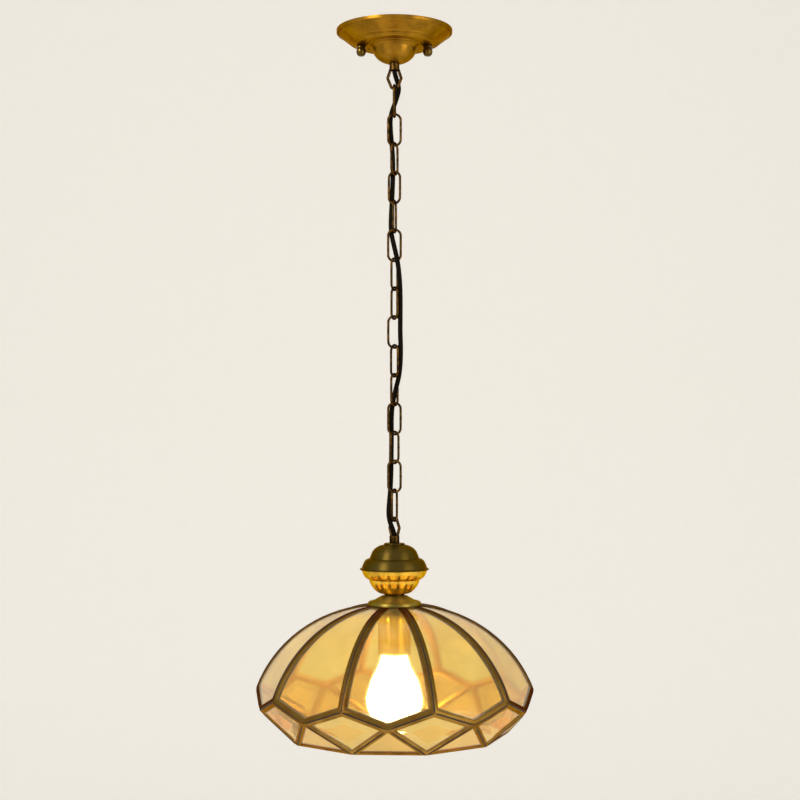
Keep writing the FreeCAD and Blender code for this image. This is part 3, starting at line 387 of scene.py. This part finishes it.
def turned(name, groups, top, wall=0.0, centre=(0.0, 0.0), sides=96):
    """Turned piece: a circle carried down its outline by extruding and scaling, then given its wall."""
    line = [(max(r * MM, TIP_RADIUS), top - z * MM) for r, z in flat_outline(groups)]
    radius, level = line[0]
    bpy.ops.object.select_all(action="DESELECT")
    bpy.ops.mesh.primitive_circle_add(vertices=sides, radius=radius, location=(*centre, level))
    piece = bpy.context.object
    bpy.ops.object.transform_apply(location=True)
    bpy.ops.object.mode_set(mode="EDIT")
    bpy.ops.mesh.select_all(action="SELECT")
    for next_radius, next_level in line[1:]:
        bpy.ops.mesh.extrude_edges_move(TRANSFORM_OT_translate={"value": (0, 0, next_level - level)})
        share = next_radius / radius
        bpy.ops.transform.resize(value=(share, share, 1), center_override=(*centre, next_level))
        radius, level = next_radius, next_level
    bpy.ops.mesh.select_all(action="SELECT")
    bpy.ops.mesh.remove_doubles(threshold=TURNED_GAP)
    if not wall:
        bpy.ops.mesh.fill_holes(sides=0)
        bpy.ops.mesh.select_all(action="SELECT")
    bpy.ops.mesh.normals_make_consistent(inside=False)
    bpy.ops.object.mode_set(mode="OBJECT")
    middle = Vector((*centre, (line[0][1] + line[-1][1]) / 2))
    if sum(face.area * face.normal.dot(face.center - middle) for face in piece.data.polygons) < 0:
        bpy.ops.object.mode_set(mode="EDIT")
        bpy.ops.mesh.flip_normals()
        bpy.ops.object.mode_set(mode="OBJECT")
    if wall:
        shell = piece.modifiers.new("Wall", "SOLIDIFY")
        shell.thickness = wall
        shell.offset = -1
        shell.use_even_offset = True
        bpy.ops.object.modifier_apply(modifier=shell.name)
    return finish_mesh(piece, name)


def node_copy(node):
    """A merged copy of a CAD node's mesh, its flat triangles joined to whole faces."""
    piece = bpy.data.objects.new("node_copy", frame["nodes"][node].data.copy())
    bpy.context.scene.collection.objects.link(piece)
    piece.data.materials.clear()
    activate(piece)
    bpy.ops.object.mode_set(mode="EDIT")
    bpy.ops.mesh.select_all(action="SELECT")
    bpy.ops.mesh.remove_doubles(threshold=NODE_GAP)
    bpy.ops.mesh.dissolve_limited(angle_limit=radians(FLAT_ANGLE))
    bpy.ops.object.mode_set(mode="OBJECT")
    return piece


def dress(piece, material, body, slot, *nodes):
    """Give a new piece its finish, its body and the CAD nodes that it stands for."""
    piece.data.materials.clear()
    piece.data.materials.append(material)
    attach(piece, body)
    if nodes:
        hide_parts(*nodes)


def dress_nodes(material, *nodes):
    """Give CAD nodes that stay a better finish."""
    for node in nodes:
        piece = frame["nodes"][node]
        if not piece.material_slots:
            piece.data.materials.append(material)
        for slot in piece.material_slots:
            slot.material = material


# Finishes

def add(tree, kind, values=None, links=None, **settings):
    """Add a node with its settings, its fixed values and the sockets that feed it."""
    item = tree.nodes.new(kind)
    for key, value in settings.items():
        setattr(item, key, value)
    for key, value in (values or {}).items():
        item.inputs[key].default_value = value
    for key, socket in (links or {}).items():
        tree.links.new(socket, item.inputs[key])
    return item


def new_material(name):
    """An empty material and its node tree, or None where it is made already."""
    if name in bpy.data.materials:
        return bpy.data.materials[name], None
    material = bpy.data.materials.new(name)
    material.use_nodes = True
    material.node_tree.nodes.clear()
    return material, material.node_tree


def close_material(tree, values, links):
    """Add the shader with its fixed values and the sockets that feed it, and the output."""
    shader = add(tree, "ShaderNodeBsdfPrincipled", values, links)
    add(tree, "ShaderNodeOutputMaterial", links={"Surface": shader.outputs[0]})


def own_place(tree):
    """Place on the piece in metres."""
    return add(tree, "ShaderNodeTexCoord").outputs["Object"]


def noise(tree, place, scale, detail, roughness=0.5):
    """Noise from 0 to 1, with so many features for each metre."""
    return add(tree, "ShaderNodeTexNoise", {"Scale": scale, "Detail": detail, "Roughness": roughness},
               {"Vector": place}).outputs["Fac"]


def spread(tree, factor, low, high):
    """A factor from 0 to 1 spread between two values."""
    return add(tree, "ShaderNodeMapRange", {"To Min": low, "To Max": high}, {"Value": factor}).outputs[0]


def raised(tree, factor, strength, height):
    """Normals of a skin that a factor raises, by up to a height in metres."""
    return add(tree, "ShaderNodeBump", {"Strength": strength, "Distance": height},
               {"Height": factor}).outputs[0]


def ramp(tree, factor, *stops):
    """A colour ramp with its stops as places and colours."""
    item = add(tree, "ShaderNodeValToRGB", links={"Fac": factor})
    while len(item.color_ramp.elements) < len(stops):
        item.color_ramp.elements.new(0.5)
    for element, (place, value) in zip(item.color_ramp.elements, stops):
        element.position = place
        element.color = value
    return item.outputs["Color"]


def turned_brass(name, bright, dull, patch, gloss):
    """Spun brass under old lacquer: fine rings from the spinning, brown patches where the lacquer aged."""
    material, tree = new_material(name)
    if tree is None:
        return material
    place = own_place(tree)
    flat = add(tree, "ShaderNodeVectorMath", {1: (1.0, 1.0, 0.0)}, {0: place}, operation="MULTIPLY")
    radius = add(tree, "ShaderNodeVectorMath", links={0: flat.outputs[0]}, operation="LENGTH")
    level = add(tree, "ShaderNodeSeparateXYZ", links={0: place})
    profile = add(tree, "ShaderNodeCombineXYZ", links={"X": radius.outputs["Value"], "Y": level.outputs["Z"]})
    # Real spinning marks lie 0.1 mm apart; these lie about 0.8 mm apart so that the render shows them
    rings = noise(tree, profile.outputs[0], RING_SCALE, detail=2.0)
    patches = noise(tree, place, PATCH_SCALE, detail=5.0, roughness=0.62)
    specks = noise(tree, place, SPECK_SCALE, detail=2.0)
    tint = ramp(tree, patches, (patch - 0.14, bright), (patch + 0.2, dull))
    spots = ramp(tree, specks, (0.62, grey(1.0)), (0.8, grey(0.75)))
    base = add(tree, "ShaderNodeMix", {0: 1.0}, {6: tint, 7: spots}, data_type="RGBA", blend_type="MULTIPLY")
    # The rings run along the tangent and draw the light out across themselves, a quarter turn from it
    tangent = add(tree, "ShaderNodeTangent", direction_type="RADIAL", axis="Z")
    close_material(
        tree,
        {"Metallic": 1.0, "Anisotropic": 0.8, "Anisotropic Rotation": 0.25,
         "Specular Tint": linear(BRASS_EDGE)},
        {"Base Color": base.outputs[2], "Roughness": spread(tree, patches, gloss - 0.07, gloss + 0.14),
         "Normal": raised(tree, rings, strength=0.35, height=0.000012), "Tangent": tangent.outputs[0]})
    return material


def worn_metal(name, ground, worn, scale, roughness, metallic=1.0, share=0.62, edge="#FFFFFF"):
    """Cast, drawn or plated metal: an even skin with lighter rubbed places and a faint grain."""
    material, tree = new_material(name)
    if tree is None:
        return material
    place = own_place(tree)
    patches = noise(tree, place, scale, detail=6.0, roughness=0.65)
    grain = noise(tree, place, GRAIN_SCALE, detail=2.0)
    close_material(
        tree,
        {"Metallic": metallic, "Specular Tint": linear(edge)},
        {"Base Color": ramp(tree, patches, (share - 0.2, ground), (share + 0.08, worn)),
         "Roughness": spread(tree, patches, roughness + 0.08, roughness - 0.08),
         "Normal": raised(tree, grain, strength=0.4, height=0.00004)})
    return material


def moulded(name, ground, mottle, roughness, scale=300.0, coat=0.0, shine=0.5):
    """Moulded plastic or fired clay: an even colour with a faint mottle and a fine skin."""
    material, tree = new_material(name)
    if tree is None:
        return material
    skin = noise(tree, own_place(tree), scale, detail=3.0)
    close_material(
        tree,
        {"Coat Weight": coat, "Coat Roughness": 0.08, "Specular IOR Level": shine},
        {"Base Color": ramp(tree, skin, (0.35, ground), (0.7, mottle)),
         "Roughness": spread(tree, skin, roughness - 0.05, roughness + 0.08),
         "Normal": raised(tree, skin, strength=0.25, height=0.00003)})
    return material


def pane_glass(name, tint, haze, clearness):
    """Tinted glass: clear, with long soft waves and a slight haze that the bulb lights up."""
    material, tree = new_material(name)
    if tree is None:
        return material
    place = own_place(tree)
    waves = noise(tree, place, WAVE_SCALE, detail=1.0)
    film = noise(tree, place, FILM_SCALE, detail=3.0)
    deeper = tuple(c * 0.86 for c in tint[:3]) + (1.0,)
    close_material(
        tree,
        {"Transmission Weight": clearness, "IOR": 1.4},
        {"Base Color": ramp(tree, film, (0.35, tint), (0.75, deeper)),
         "Roughness": spread(tree, film, haze * 0.5, haze * 1.6),
         "Normal": raised(tree, waves, strength=0.5, height=0.0002)})
    return material


def opal(name, glow, strength):
    """Opal glass of a lit bulb: milky white, glowing warm."""
    material, tree = new_material(name)
    if tree is None:
        return material
    cloud = noise(tree, own_place(tree), CLOUD_SCALE, detail=3.0)
    close_material(
        tree,
        {"Roughness": 0.3, "Emission Color": glow, "Emission Strength": strength},
        {"Base Color": ramp(tree, cloud, (0.3, linear("#FFF8EA")), (0.8, linear("#F6ECD8")))})
    return material


def seen_directly(tree):
    """1 for what the camera sees, directly, in a shine or through glass."""
    path = add(tree, "ShaderNodeLightPath")
    seen = path.outputs["Is Camera Ray"]
    for kind in ("Is Glossy Ray", "Is Transmission Ray"):
        either = add(tree, "ShaderNodeMath", links={0: seen, 1: path.outputs[kind]}, operation="MAXIMUM")
        seen = either.outputs[0]
    return seen


def studio_paper():
    """Matt studio paper: pale warm grey; it looks as pale to the camera as it does in a bright room."""
    material, tree = new_material("Matt studio paper")
    if tree is None:
        return material
    fibre = noise(tree, own_place(tree), FIBRE_SCALE, detail=3.0)
    strength = add(tree, "ShaderNodeMath", {1: 0.5}, {0: seen_directly(tree)}, operation="MULTIPLY")
    close_material(
        tree,
        {"Roughness": 0.9, "Emission Color": linear("#E3E2E0")},
        {"Base Color": ramp(tree, fibre, (0.3, linear("#E6E2DA")), (0.7, linear("#E9E6DF"))),
         "Emission Strength": strength.outputs[0]})
    return material


def finishes():
    return bpy.context.scene.pendant_finishes


def sizes():
    return bpy.context.scene.pendant_sizes


def studio():
    return bpy.context.scene.pendant_studio


def gold_brass():
    # Lacquered spun brass: warm gold, with the streaks of light that spinning gives
    return turned_brass("Spun brass, aged lacquer", finishes().brass, finishes().brass_dull,
                        patch=0.54, gloss=0.32)


def bulb_lit_brass():
    # The same brass, yellower as painted light of the bulb below the lower cap, and shinier
    return turned_brass("Spun brass, painted bulb light", finishes().brass_lit_by_bulb, finishes().brass_dull,
                        patch=0.62, gloss=0.2)


def bulb_lit_pale_brass():
    # Polished brass near the bulb, pale yellow as painted light of the bulb
    return turned_brass("Spun brass, polished, painted bulb light", finishes().brass_pale_lit, finishes().brass_lit_by_bulb,
                        patch=0.6, gloss=0.3)


def shaded_brass():
    # Spun brass, darker olive brown as painted shade, duller, with the same streaks
    return turned_brass("Spun brass, painted shade", finishes().brass_shaded, finishes().brass_olive,
                        patch=0.48, gloss=0.38)


def collar_brass():
    # The collar's brass has kept more of its colour under a greenish film, and is duller
    return turned_brass("Spun brass, greenish", finishes().brass_collar, finishes().brass_olive,
                        patch=0.6, gloss=0.42)


def bronze_wire():
    # Bronze-plated steel wire: dark olive brown, rubbed golden brown in places
    return worn_metal("Bronze-plated wire", finishes().bronze, finishes().bronze_worn,
                      scale=160.0, roughness=0.36, edge=BRONZE_EDGE)


def channel_brass():
    # Folded brass channel, chemically aged: olive and brown patches, soft shine
    return worn_metal("Folded brass channel, patinated", finishes().channel, finishes().channel_warm,
                      scale=45.0, roughness=0.34, share=0.6, edge=CHANNEL_EDGE)


def lower_channel():
    # The same channel below the ribs, lighter: warm brown gold
    return worn_metal("Folded brass channel, lighter", finishes().lower_channel, finishes().channel_warm,
                      scale=45.0, roughness=0.36, share=0.66, edge=LOWER_CHANNEL_EDGE)


def lit_inner_channel():
    # The channels' inner side: plain bright brass, painted light of the bulb inside the shade
    return worn_metal("Folded brass channel, painted bulb light", finishes().channel_inside_lit, finishes().brass_lit_by_bulb,
                      scale=60.0, roughness=0.36, share=0.66)


def zinc_steel():
    # Zinc-plated pressed steel: grey with a faint yellow bloom
    return worn_metal("Zinc-plated steel", linear("#9A9B97"), linear("#B7B4A6"), scale=120.0, roughness=0.42)


# Pieces

class PENDANT_OT_fittings(bpy.types.Operator):
    """Finish the hidden fittings: crossbar, nuts, tubes, terminal block and cores"""
    bl_idname = "pendant.fittings"
    bl_label = "Hidden fittings"

    def execute(self, context):
        dress_nodes(zinc_steel(), "crossbar", "crossbar_studs", "stud_lock_nuts", "canopy_nipple",
                    "canopy_washer", "canopy_nut", "terminal_screws", "body_stem", "clamp_washer", "stem_nut")
        # Turned contact brass, left bare: bright yellow, fine grain
        bare = worn_metal("Turned brass, bare", linear("#C8A457"), linear("#E0C27C"),
                          scale=200.0, roughness=0.3)
        dress_nodes(bare, "earth_screw", "screw_shell", "centre_contact")
        # Moulded polyamide: off-white, satin
        satin = moulded("Moulded polyamide", linear("#DAD6C8"), linear("#E4E1D6"), roughness=0.5)
        dress_nodes(satin, "terminal_block")
        # PVC insulation: brown, slightly glossy
        brown = moulded("PVC insulation", linear("#4E2F1C"), linear("#573622"), roughness=0.4)
        dress_nodes(brown, "cord_cores")
        # The crown disc takes the brass darkened as painted shade
        dress_nodes(shaded_brass(), "crown_disc")
        return {"FINISHED"}


class PENDANT_OT_canopy(bpy.types.Operator):
    """Turn the canopy with its rolled rim, step and dome"""
    bl_idname = "pendant.canopy"
    bl_label = "Canopy"

    def execute(self, context):
        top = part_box("canopy")[1].z
        piece = turned("canopy_shell", CANOPY_OUTLINE, top, sizes().sheet_wall, sides=144)
        dress(piece, gold_brass(), "canopy_set", "aged_brass", "canopy")
        return {"FINISHED"}


class PENDANT_OT_cap_nuts(bpy.types.Operator):
    """Turn the two cap nuts that hold the canopy up"""
    bl_idname = "pendant.cap_nuts"
    bl_label = "Cap nuts"

    def execute(self, context):
        # Turned brass nut, browner and darker than the canopy as painted shade, and shinier
        finish = worn_metal("Turned brass, painted shade", finishes().brass_olive, finishes().brass_dull,
                            scale=300.0, roughness=0.24)
        for node in ("cap_nut_left", "cap_nut_right"):
            low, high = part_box(node)
            middle = ((low.x + high.x) / 2, (low.y + high.y) / 2)
            piece = turned(node + "_turned", CAP_NUT_OUTLINE, high.z, centre=middle, sides=48)
            dress(piece, finish, node, "aged_brass", node)
        return {"FINISHED"}


class PENDANT_OT_loops(bpy.types.Operator):
    """Finish the loops at both ends of the chain"""
    bl_idname = "pendant.loops"
    bl_label = "Loops"

    def execute(self, context):
        for node, body in (("top_loop", "canopy_set"), ("lower_loop", "lamp_head")):
            piece = finish_mesh(node_copy(node), node + "_cast", angle=40)
            dress(piece, bronze_wire(), body, "bronze_wire", node)
        return {"FINISHED"}


class PENDANT_OT_chain(bpy.types.Operator):
    """Bend one oval link of round wire, weld it and hang fifteen copies"""
    bl_idname = "pendant.chain"
    bl_label = "Chain"

    def execute(self, context):
        wire, reach = sizes().link_wire, sizes().link_width / 2 - sizes().link_wire
        low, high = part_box("chain_link_01")
        straight = (high.z - low.z) / 2 - wire - reach
        bpy.ops.object.select_all(action="DESELECT")
        bpy.ops.mesh.primitive_torus_add(major_radius=reach, minor_radius=wire, major_segments=40,
                                         minor_segments=18, rotation=(pi / 2, 0, 0))
        link = bpy.context.object
        bpy.ops.object.transform_apply(rotation=True)
        for side in (-1, 1):
            pick(link, "VERT", lambda v: v.co.z * side > LINK_MIDDLE)
            bpy.ops.transform.translate(value=(0, 0, side * straight))
        # The weld in the middle of one side: a slight collar
        for level in WELD_LEVELS:
            bpy.ops.mesh.select_all(action="SELECT")
            bpy.ops.mesh.bisect(plane_co=(0, 0, level * MM), plane_no=(0, 0, 1))
        pick(link, "VERT", lambda v: abs(v.co.z) < WELD_HALF * MM and v.co.x > 0)
        bpy.ops.transform.resize(value=(WELD_GROWTH, WELD_GROWTH, 1), center_override=(reach, 0, 0))
        finish_mesh(link, "chain_wire", angle=60)
        for number, turn in enumerate(LINK_TURNS, start=1):
            node = "chain_link_%02d" % number
            low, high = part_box(node)
            activate(link)
            bpy.ops.object.duplicate()
            copy = bpy.context.object
            copy.rotation_euler.z = radians(turn)
            copy.location.z = (low.z + high.z) / 2
            dress(finish_mesh(copy, node + "_wire", angle=60), bronze_wire(), node, "bronze_wire", node)
        bpy.data.objects.remove(link)
        return {"FINISHED"}


class PENDANT_OT_cord(bpy.types.Operator):
    """Lace the supply cord through the chain, one length for each hinge"""
    bl_idname = "pendant.cord"
    bl_label = "Supply cord"

    def execute(self, context):
        curve = bpy.data.curves.new("supply_cord_line", "CURVE")
        curve.dimensions = "3D"
        spline = curve.splines.new("NURBS")
        spline.points.add(len(CORD_ROUTE) - 1)
        for point, place in zip(spline.points, CORD_ROUTE):
            point.co = (*place, 1.0)
        spline.order_u = 3
        spline.use_endpoint_u = True
        spline.resolution_u = 7
        curve.bevel_depth = sizes().cord_radius
        curve.bevel_resolution = 6
        whole = bpy.data.objects.new("supply_cord_whole", curve)
        context.scene.collection.objects.link(whole)
        activate(whole)
        bpy.ops.object.convert(target="MESH")
        whole = bpy.context.object
        # PVC sheath: very dark brown, softly glossy
        finish = moulded("PVC sheath, dark brown", finishes().cord, linear("#150E07"), roughness=0.5,
                         scale=500.0, shine=0.03)
        swings = [joint for joint in frame["joints"] if joint["name"].startswith("chain_swing")]
        pivots = [joint["pos_m"][2] for joint in swings]
        cuts = [(a + b) / 2 for a, b in zip(pivots, pivots[1:])]
        tops, feet = [None] + cuts, cuts + [None]
        for number, (joint, pivot, top, foot) in enumerate(zip(swings, pivots, tops, feet), start=1):
            activate(whole)
            bpy.ops.object.duplicate()
            piece = bpy.context.object
            bpy.ops.object.mode_set(mode="EDIT")
            for level, upper in ((top, True), (foot, False)):
                if level is not None:
                    bpy.ops.mesh.select_all(action="SELECT")
                    bpy.ops.mesh.bisect(plane_co=(0, 0, level), plane_no=(0, 0, 1), use_fill=True,
                                        clear_outer=upper, clear_inner=not upper)
            bpy.ops.mesh.select_all(action="SELECT")
            bpy.ops.mesh.fill_holes(sides=0)
            finish_mesh(piece, "supply_cord_%02d" % number, angle=60)
            piece.data.materials.append(finish)
            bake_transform(piece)
            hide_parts("supply_cord")
        bpy.data.objects.remove(whole)
        return {"FINISHED"}


class PENDANT_OT_body(bpy.types.Operator):
    """Turn the seat disc, the two caps, the neck ring and the collar"""
    bl_idname = "pendant.body"
    bl_label = "Turned body"

    def execute(self, context):
        wall, thin = sizes().cap_wall, sizes().sheet_wall
        for node, outline, thickness, finish in (
                # The seat disc, upper cap and neck ring take brass darkened as painted shade
                ("seat_disc", SEAT_DISC_OUTLINE, 0.0, shaded_brass()),
                ("upper_cap", UPPER_CAP_OUTLINE, wall, shaded_brass()),
                # The lower cap takes brass brightened as painted light of the bulb
                ("lower_cap", LOWER_CAP_OUTLINE, wall, bulb_lit_brass()),
                ("neck_ring", NECK_OUTLINE, 0.0, shaded_brass()),
                ("shade_collar", COLLAR_OUTLINE, thin, collar_brass())):
            piece = turned(node + "_turned", outline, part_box(node)[1].z, thickness, sides=128)
            dress(piece, finish, "lamp_head", "aged_brass", node)
        return {"FINISHED"}


class PENDANT_OT_shade_frames(bpy.types.Operator):
    """Round the edges of the brass channels that hold the panes"""
    bl_idname = "pendant.shade_frames"
    bl_label = "Shade channels"

    def execute(self, context):
        for node, finish in (("main_pane_frames", channel_brass()), ("lozenge_frames", lower_channel()),
                             ("triangle_frames", lower_channel())):
            piece = node_copy(node)
            edge = piece.modifiers.new("Edges", "BEVEL")
            edge.width = sizes().channel_edge
            edge.segments = 2
            edge.limit_method = "ANGLE"
            edge.angle_limit = radians(35)
            edge.use_clamp_overlap = True
            bpy.ops.object.modifier_apply(modifier=edge.name)
            dress(finish_mesh(piece, node + "_folded", angle=30), finish, "lamp_head", "channel_brass", node)
            # Faces turned into the shade take bright brass: painted light of the bulb
            piece.data.materials.append(lit_inner_channel())
            for face in piece.data.polygons:
                outward = Vector((face.center.x, face.center.y, 0)).normalized()
                face.material_index = int(face.normal.dot(outward) < CHANNEL_INNER)
        return {"FINISHED"}


class PENDANT_OT_shade_seams(bpy.types.Operator):
    """Run the dark solder along the ribs, the zigzag and the lozenges' lower edges"""
    bl_idname = "pendant.shade_seams"
    bl_label = "Shade seams"

    def execute(self, context):
        def corner(place, turns):
            angle = radians(FIRST_RIB + RIB_STEP * turns)
            radius, height = place
            return Vector((radius * cos(angle), radius * sin(angle), CORNER_LEVEL + height)) * MM

        def rib(share):
            middle, level, radius, start, end = RIB_ARC
            angle = radians(start + (end - start) * share)
            flat = (middle + (radius - RIB_SINK) * cos(angle)) / cos(radians(RIB_STEP / 2))
            return (flat, level + (radius - RIB_SINK) * sin(angle))

        def run(start, end, stops, inward):
            points = []
            for share, sink in stops:
                place = start.lerp(end, share)
                flat = Vector((place.x, place.y, 0)).normalized() * inward[0]
                points.append(place + Vector((flat.x, flat.y, inward[1])) * sink * MM)
            return points

        lines = []
        for turns in range(SHADE_SIDES):
            lines.append([corner(rib(step / RIB_ARC_STEPS), turns) for step in range(RIB_ARC_STEPS + 1)])
            for side in (-0.5, 0.5):
                shoulder = corner(SIDE_CORNER, turns + side)
                lines.append(run(corner(RIB_CORNER, turns), shoulder, ZIGZAG_RUN, ZIGZAG_INWARD))
                lines.append(run(shoulder, corner(RIM_CORNER, turns), LOWER_RUN, LOWER_INWARD))
        curve = bpy.data.curves.new("shade_seams", "CURVE")
        curve.dimensions = "3D"
        for line in lines:
            spline = curve.splines.new("POLY")
            spline.points.add(len(line) - 1)
            for point, place in zip(spline.points, line):
                point.co = (*place, 1.0)
        curve.bevel_depth = sizes().seam_radius
        curve.bevel_resolution = 3
        curve.use_fill_caps = True
        piece = bpy.data.objects.new("shade_seams", curve)
        context.scene.collection.objects.link(piece)
        activate(piece)
        bpy.ops.object.convert(target="MESH")
        # Soft solder darkened with patina: nearly black, dull
        finish = worn_metal("Soft solder, blackened", finishes().seam, linear("#241A0F"),
                            scale=120.0, roughness=0.55, metallic=0.3)
        dress(finish_mesh(bpy.context.object, "shade_seams", angle=60), finish, "lamp_head", "channel_brass")
        return {"FINISHED"}


class PENDANT_OT_shade_glass(bpy.types.Operator):
    """Finish the bent panes, the bevelled lozenges and the triangles"""
    bl_idname = "pendant.shade_glass"
    bl_label = "Shade glass"

    def execute(self, context):
        # Rolled glass, bent in a kiln: straw-coloured, with a slight haze in which the bulb's light hangs
        bent = pane_glass("Bent rolled glass, straw", finishes().glass, haze=0.08, clearness=0.92)
        dress_nodes(bent, "main_panes")
        # The same glass left flat
        tint = finishes().lower_glass
        dress_nodes(pane_glass("Flat rolled glass, straw", tint, haze=0.05, clearness=0.86), "triangle_panes")
        # Thick plate glass with a ground and polished border, which is paler than the middle
        middle = pane_glass("Plate glass, straw", tint, haze=0.04, clearness=0.88)
        border = pane_glass("Plate glass, ground border", finishes().border, haze=0.06, clearness=0.72)
        piece = finish_mesh(node_copy("lozenge_panes"), "lozenge_panes_bevelled", angle=3)
        dress(piece, middle, "lamp_head", "bevel_glass", "lozenge_panes")
        piece.data.materials.append(border)
        for face in piece.data.polygons:
            outward = Vector((face.center.x, face.center.y, 0)).normalized()
            sloped = abs(face.normal.z - LOZENGE_LEAN) > BORDER_SLOPE
            face.material_index = int(face.normal.dot(outward) > LOZENGE_OUTER and sloped)
        return {"FINISHED"}


class PENDANT_OT_lampholder(bpy.types.Operator):
    """Turn the lampholder's brass cap and sleeve and finish its porcelain"""
    bl_idname = "pendant.lampholder"
    bl_label = "Lampholder"

    def execute(self, context):
        wall = sizes().sheet_wall
        for node, outline in (("holder_cap", HOLDER_CAP_OUTLINE), ("holder_sleeve", HOLDER_SLEEVE_OUTLINE)):
            piece = turned(node + "_turned", outline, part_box(node)[1].z, wall, sides=72)
            # The cap and sleeve take brass paled as painted light of the bulb
            dress(piece, bulb_lit_pale_brass(), "lamp_head", "aged_brass", node)
        # Glazed porcelain: warm white under a clear glaze
        glaze = moulded("Glazed porcelain", linear("#EFEBDF"), linear("#E6E1D2"), roughness=0.3, scale=80.0,
                        coat=0.6)
        dress_nodes(glaze, "holder_insert")
        return {"FINISHED"}


class PENDANT_OT_bulb(bpy.types.Operator):
    """Blow the opal bulb and finish its cap"""
    bl_idname = "pendant.bulb"
    bl_label = "Bulb"

    def execute(self, context):
        piece = turned("bulb_envelope", BULB_OUTLINE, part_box("bulb_glass")[1].z, BULB_WALL * MM)
        finish = opal("Opal glass, lit", finishes().glow, studio().bulb_strength)
        dress(piece, finish, "bulb", "opal_glass", "bulb_glass")
        # Rolled aluminium: pale grey, thin and even
        rolled = worn_metal("Rolled aluminium", linear("#B9B8B4"), linear("#D0CFCB"),
                            scale=200.0, roughness=0.35)
        dress_nodes(rolled, "bulb_cap", "bulb_tip")
        # Vitrite: black pressed glass
        black = moulded("Vitrite", linear("#0E0E10"), linear("#17171A"), roughness=0.2, coat=0.3)
        dress_nodes(black, "bulb_insulator")
        # Clear stem glass
        clear = pane_glass("Drawn lead glass", linear("#F2F6F4"), haze=0.02, clearness=0.95)
        dress_nodes(clear, "bulb_mount")
        return {"FINISHED"}


class PENDANT_OT_stage(bpy.types.Operator):
    """Lay a pale floor, hang soft lights and set the camera"""
    bl_idname = "pendant.stage"
    bl_label = "Studio"

    def execute(self, context):
        settings = studio()
        level = settings.floor_level
        bpy.ops.object.select_all(action="DESELECT")
        bpy.ops.mesh.primitive_plane_add(size=FLOOR_SIZE, location=(0, SWEEP_START - FLOOR_SIZE / 2, level))
        floor = bpy.context.object
        bpy.ops.object.transform_apply(location=True)
        pick(floor, "EDGE", lambda edge: all(floor.data.vertices[v].co.y > 0 for v in edge.vertices))
        centre = (0, SWEEP_START, level + SWEEP_RADIUS)
        bpy.ops.mesh.spin(steps=16, angle=-pi / 2, center=centre, axis=(1, 0, 0))
        bpy.ops.mesh.extrude_edges_move(TRANSFORM_OT_translate={"value": (0, 0, SWEEP_WALL)})
        finish_mesh(floor, "studio_sweep", angle=60)
        if max(v.co.y for v in floor.data.vertices) < SWEEP_START + SWEEP_RADIUS / 2:
            raise RuntimeError("the sweep turns inwards")
        floor.data.materials.append(studio_paper())

        world = bpy.data.worlds.new("Studio room")
        world.use_nodes = True
        tree = world.node_tree
        tree.nodes.clear()
        strength = spread(tree, seen_directly(tree), settings.ambient, 1.0)
        room = add(tree, "ShaderNodeBackground", {"Color": linear("#EDEAE3")}, {"Strength": strength})
        add(tree, "ShaderNodeOutputWorld", links={"Surface": room.outputs[0]})
        context.scene.world = world

        for name, place, size, share in LAMPS:
            lamp = bpy.data.lights.new(name, "AREA")
            lamp.shape = "DISK"
            lamp.size = size
            lamp.energy = settings.light_power * share
            lamp.color = linear("#FFF6EA")[:3]
            light = bpy.data.objects.new(name, lamp)
            context.scene.collection.objects.link(light)
            light.location = place
            aim = Vector(LAMP_TARGET) - Vector(place)
            light.rotation_euler = aim.to_track_quat("-Z", "Y").to_euler()

        camera = bpy.data.cameras.new("photo_view")
        camera.sensor_width = SENSOR_WIDTH
        camera.lens = CAMERA_LENS
        camera.shift_y = CAMERA_SHIFT
        eye = bpy.data.objects.new("photo_view", camera)
        context.scene.collection.objects.link(eye)
        eye.location = CAMERA_PLACE
        eye.rotation_euler = (pi / 2, 0, 0)
        context.scene.camera = eye
        context.scene.view_settings.view_transform = "Standard"
        return {"FINISHED"}


class PENDANT_PT_panel(bpy.types.Panel):
    """Steps of the pendant light, in the order of its making"""
    bl_idname = "PENDANT_PT_panel"
    bl_label = "Pendant Light"
    bl_space_type = "VIEW_3D"
    bl_region_type = "UI"
    bl_category = "Pendant"

    def draw(self, context):
        for group in GROUPS:
            box = self.layout.box()
            settings = getattr(context.scene, group)
            for name in settings.__annotations__:
                box.prop(settings, name)
        for step in STEPS:
            self.layout.operator(step.bl_idname)


GROUPS = {"pendant_finishes": PendantFinishes, "pendant_sizes": PendantSizes, "pendant_studio": PendantStudio}
STEPS = (
    PENDANT_OT_fittings, PENDANT_OT_canopy, PENDANT_OT_cap_nuts, PENDANT_OT_loops, PENDANT_OT_chain,
    PENDANT_OT_cord, PENDANT_OT_body, PENDANT_OT_shade_frames, PENDANT_OT_shade_seams, PENDANT_OT_shade_glass,
    PENDANT_OT_lampholder, PENDANT_OT_bulb, PENDANT_OT_stage,
)
CLASSES = tuple(GROUPS.values()) + STEPS + (PENDANT_PT_panel,)


def register():
    for item in CLASSES:
        bpy.utils.register_class(item)
    for name, group in GROUPS.items():
        setattr(bpy.types.Scene, name, bpy.props.PointerProperty(type=group))


def unregister():
    for name in GROUPS:
        delattr(bpy.types.Scene, name)
    for item in reversed(CLASSES):
        bpy.utils.unregister_class(item)


def main():
    register()
    bpy.ops.pendant.fittings()
    bpy.ops.pendant.canopy()
    bpy.ops.pendant.cap_nuts()
    bpy.ops.pendant.loops()
    bpy.ops.pendant.chain()
    bpy.ops.pendant.cord()
    bpy.ops.pendant.body()
    bpy.ops.pendant.shade_frames()
    bpy.ops.pendant.shade_seams()
    bpy.ops.pendant.shade_glass()
    bpy.ops.pendant.lampholder()
    bpy.ops.pendant.bulb()
    bpy.ops.pendant.stage()


if __name__ == "__main__":
    main()
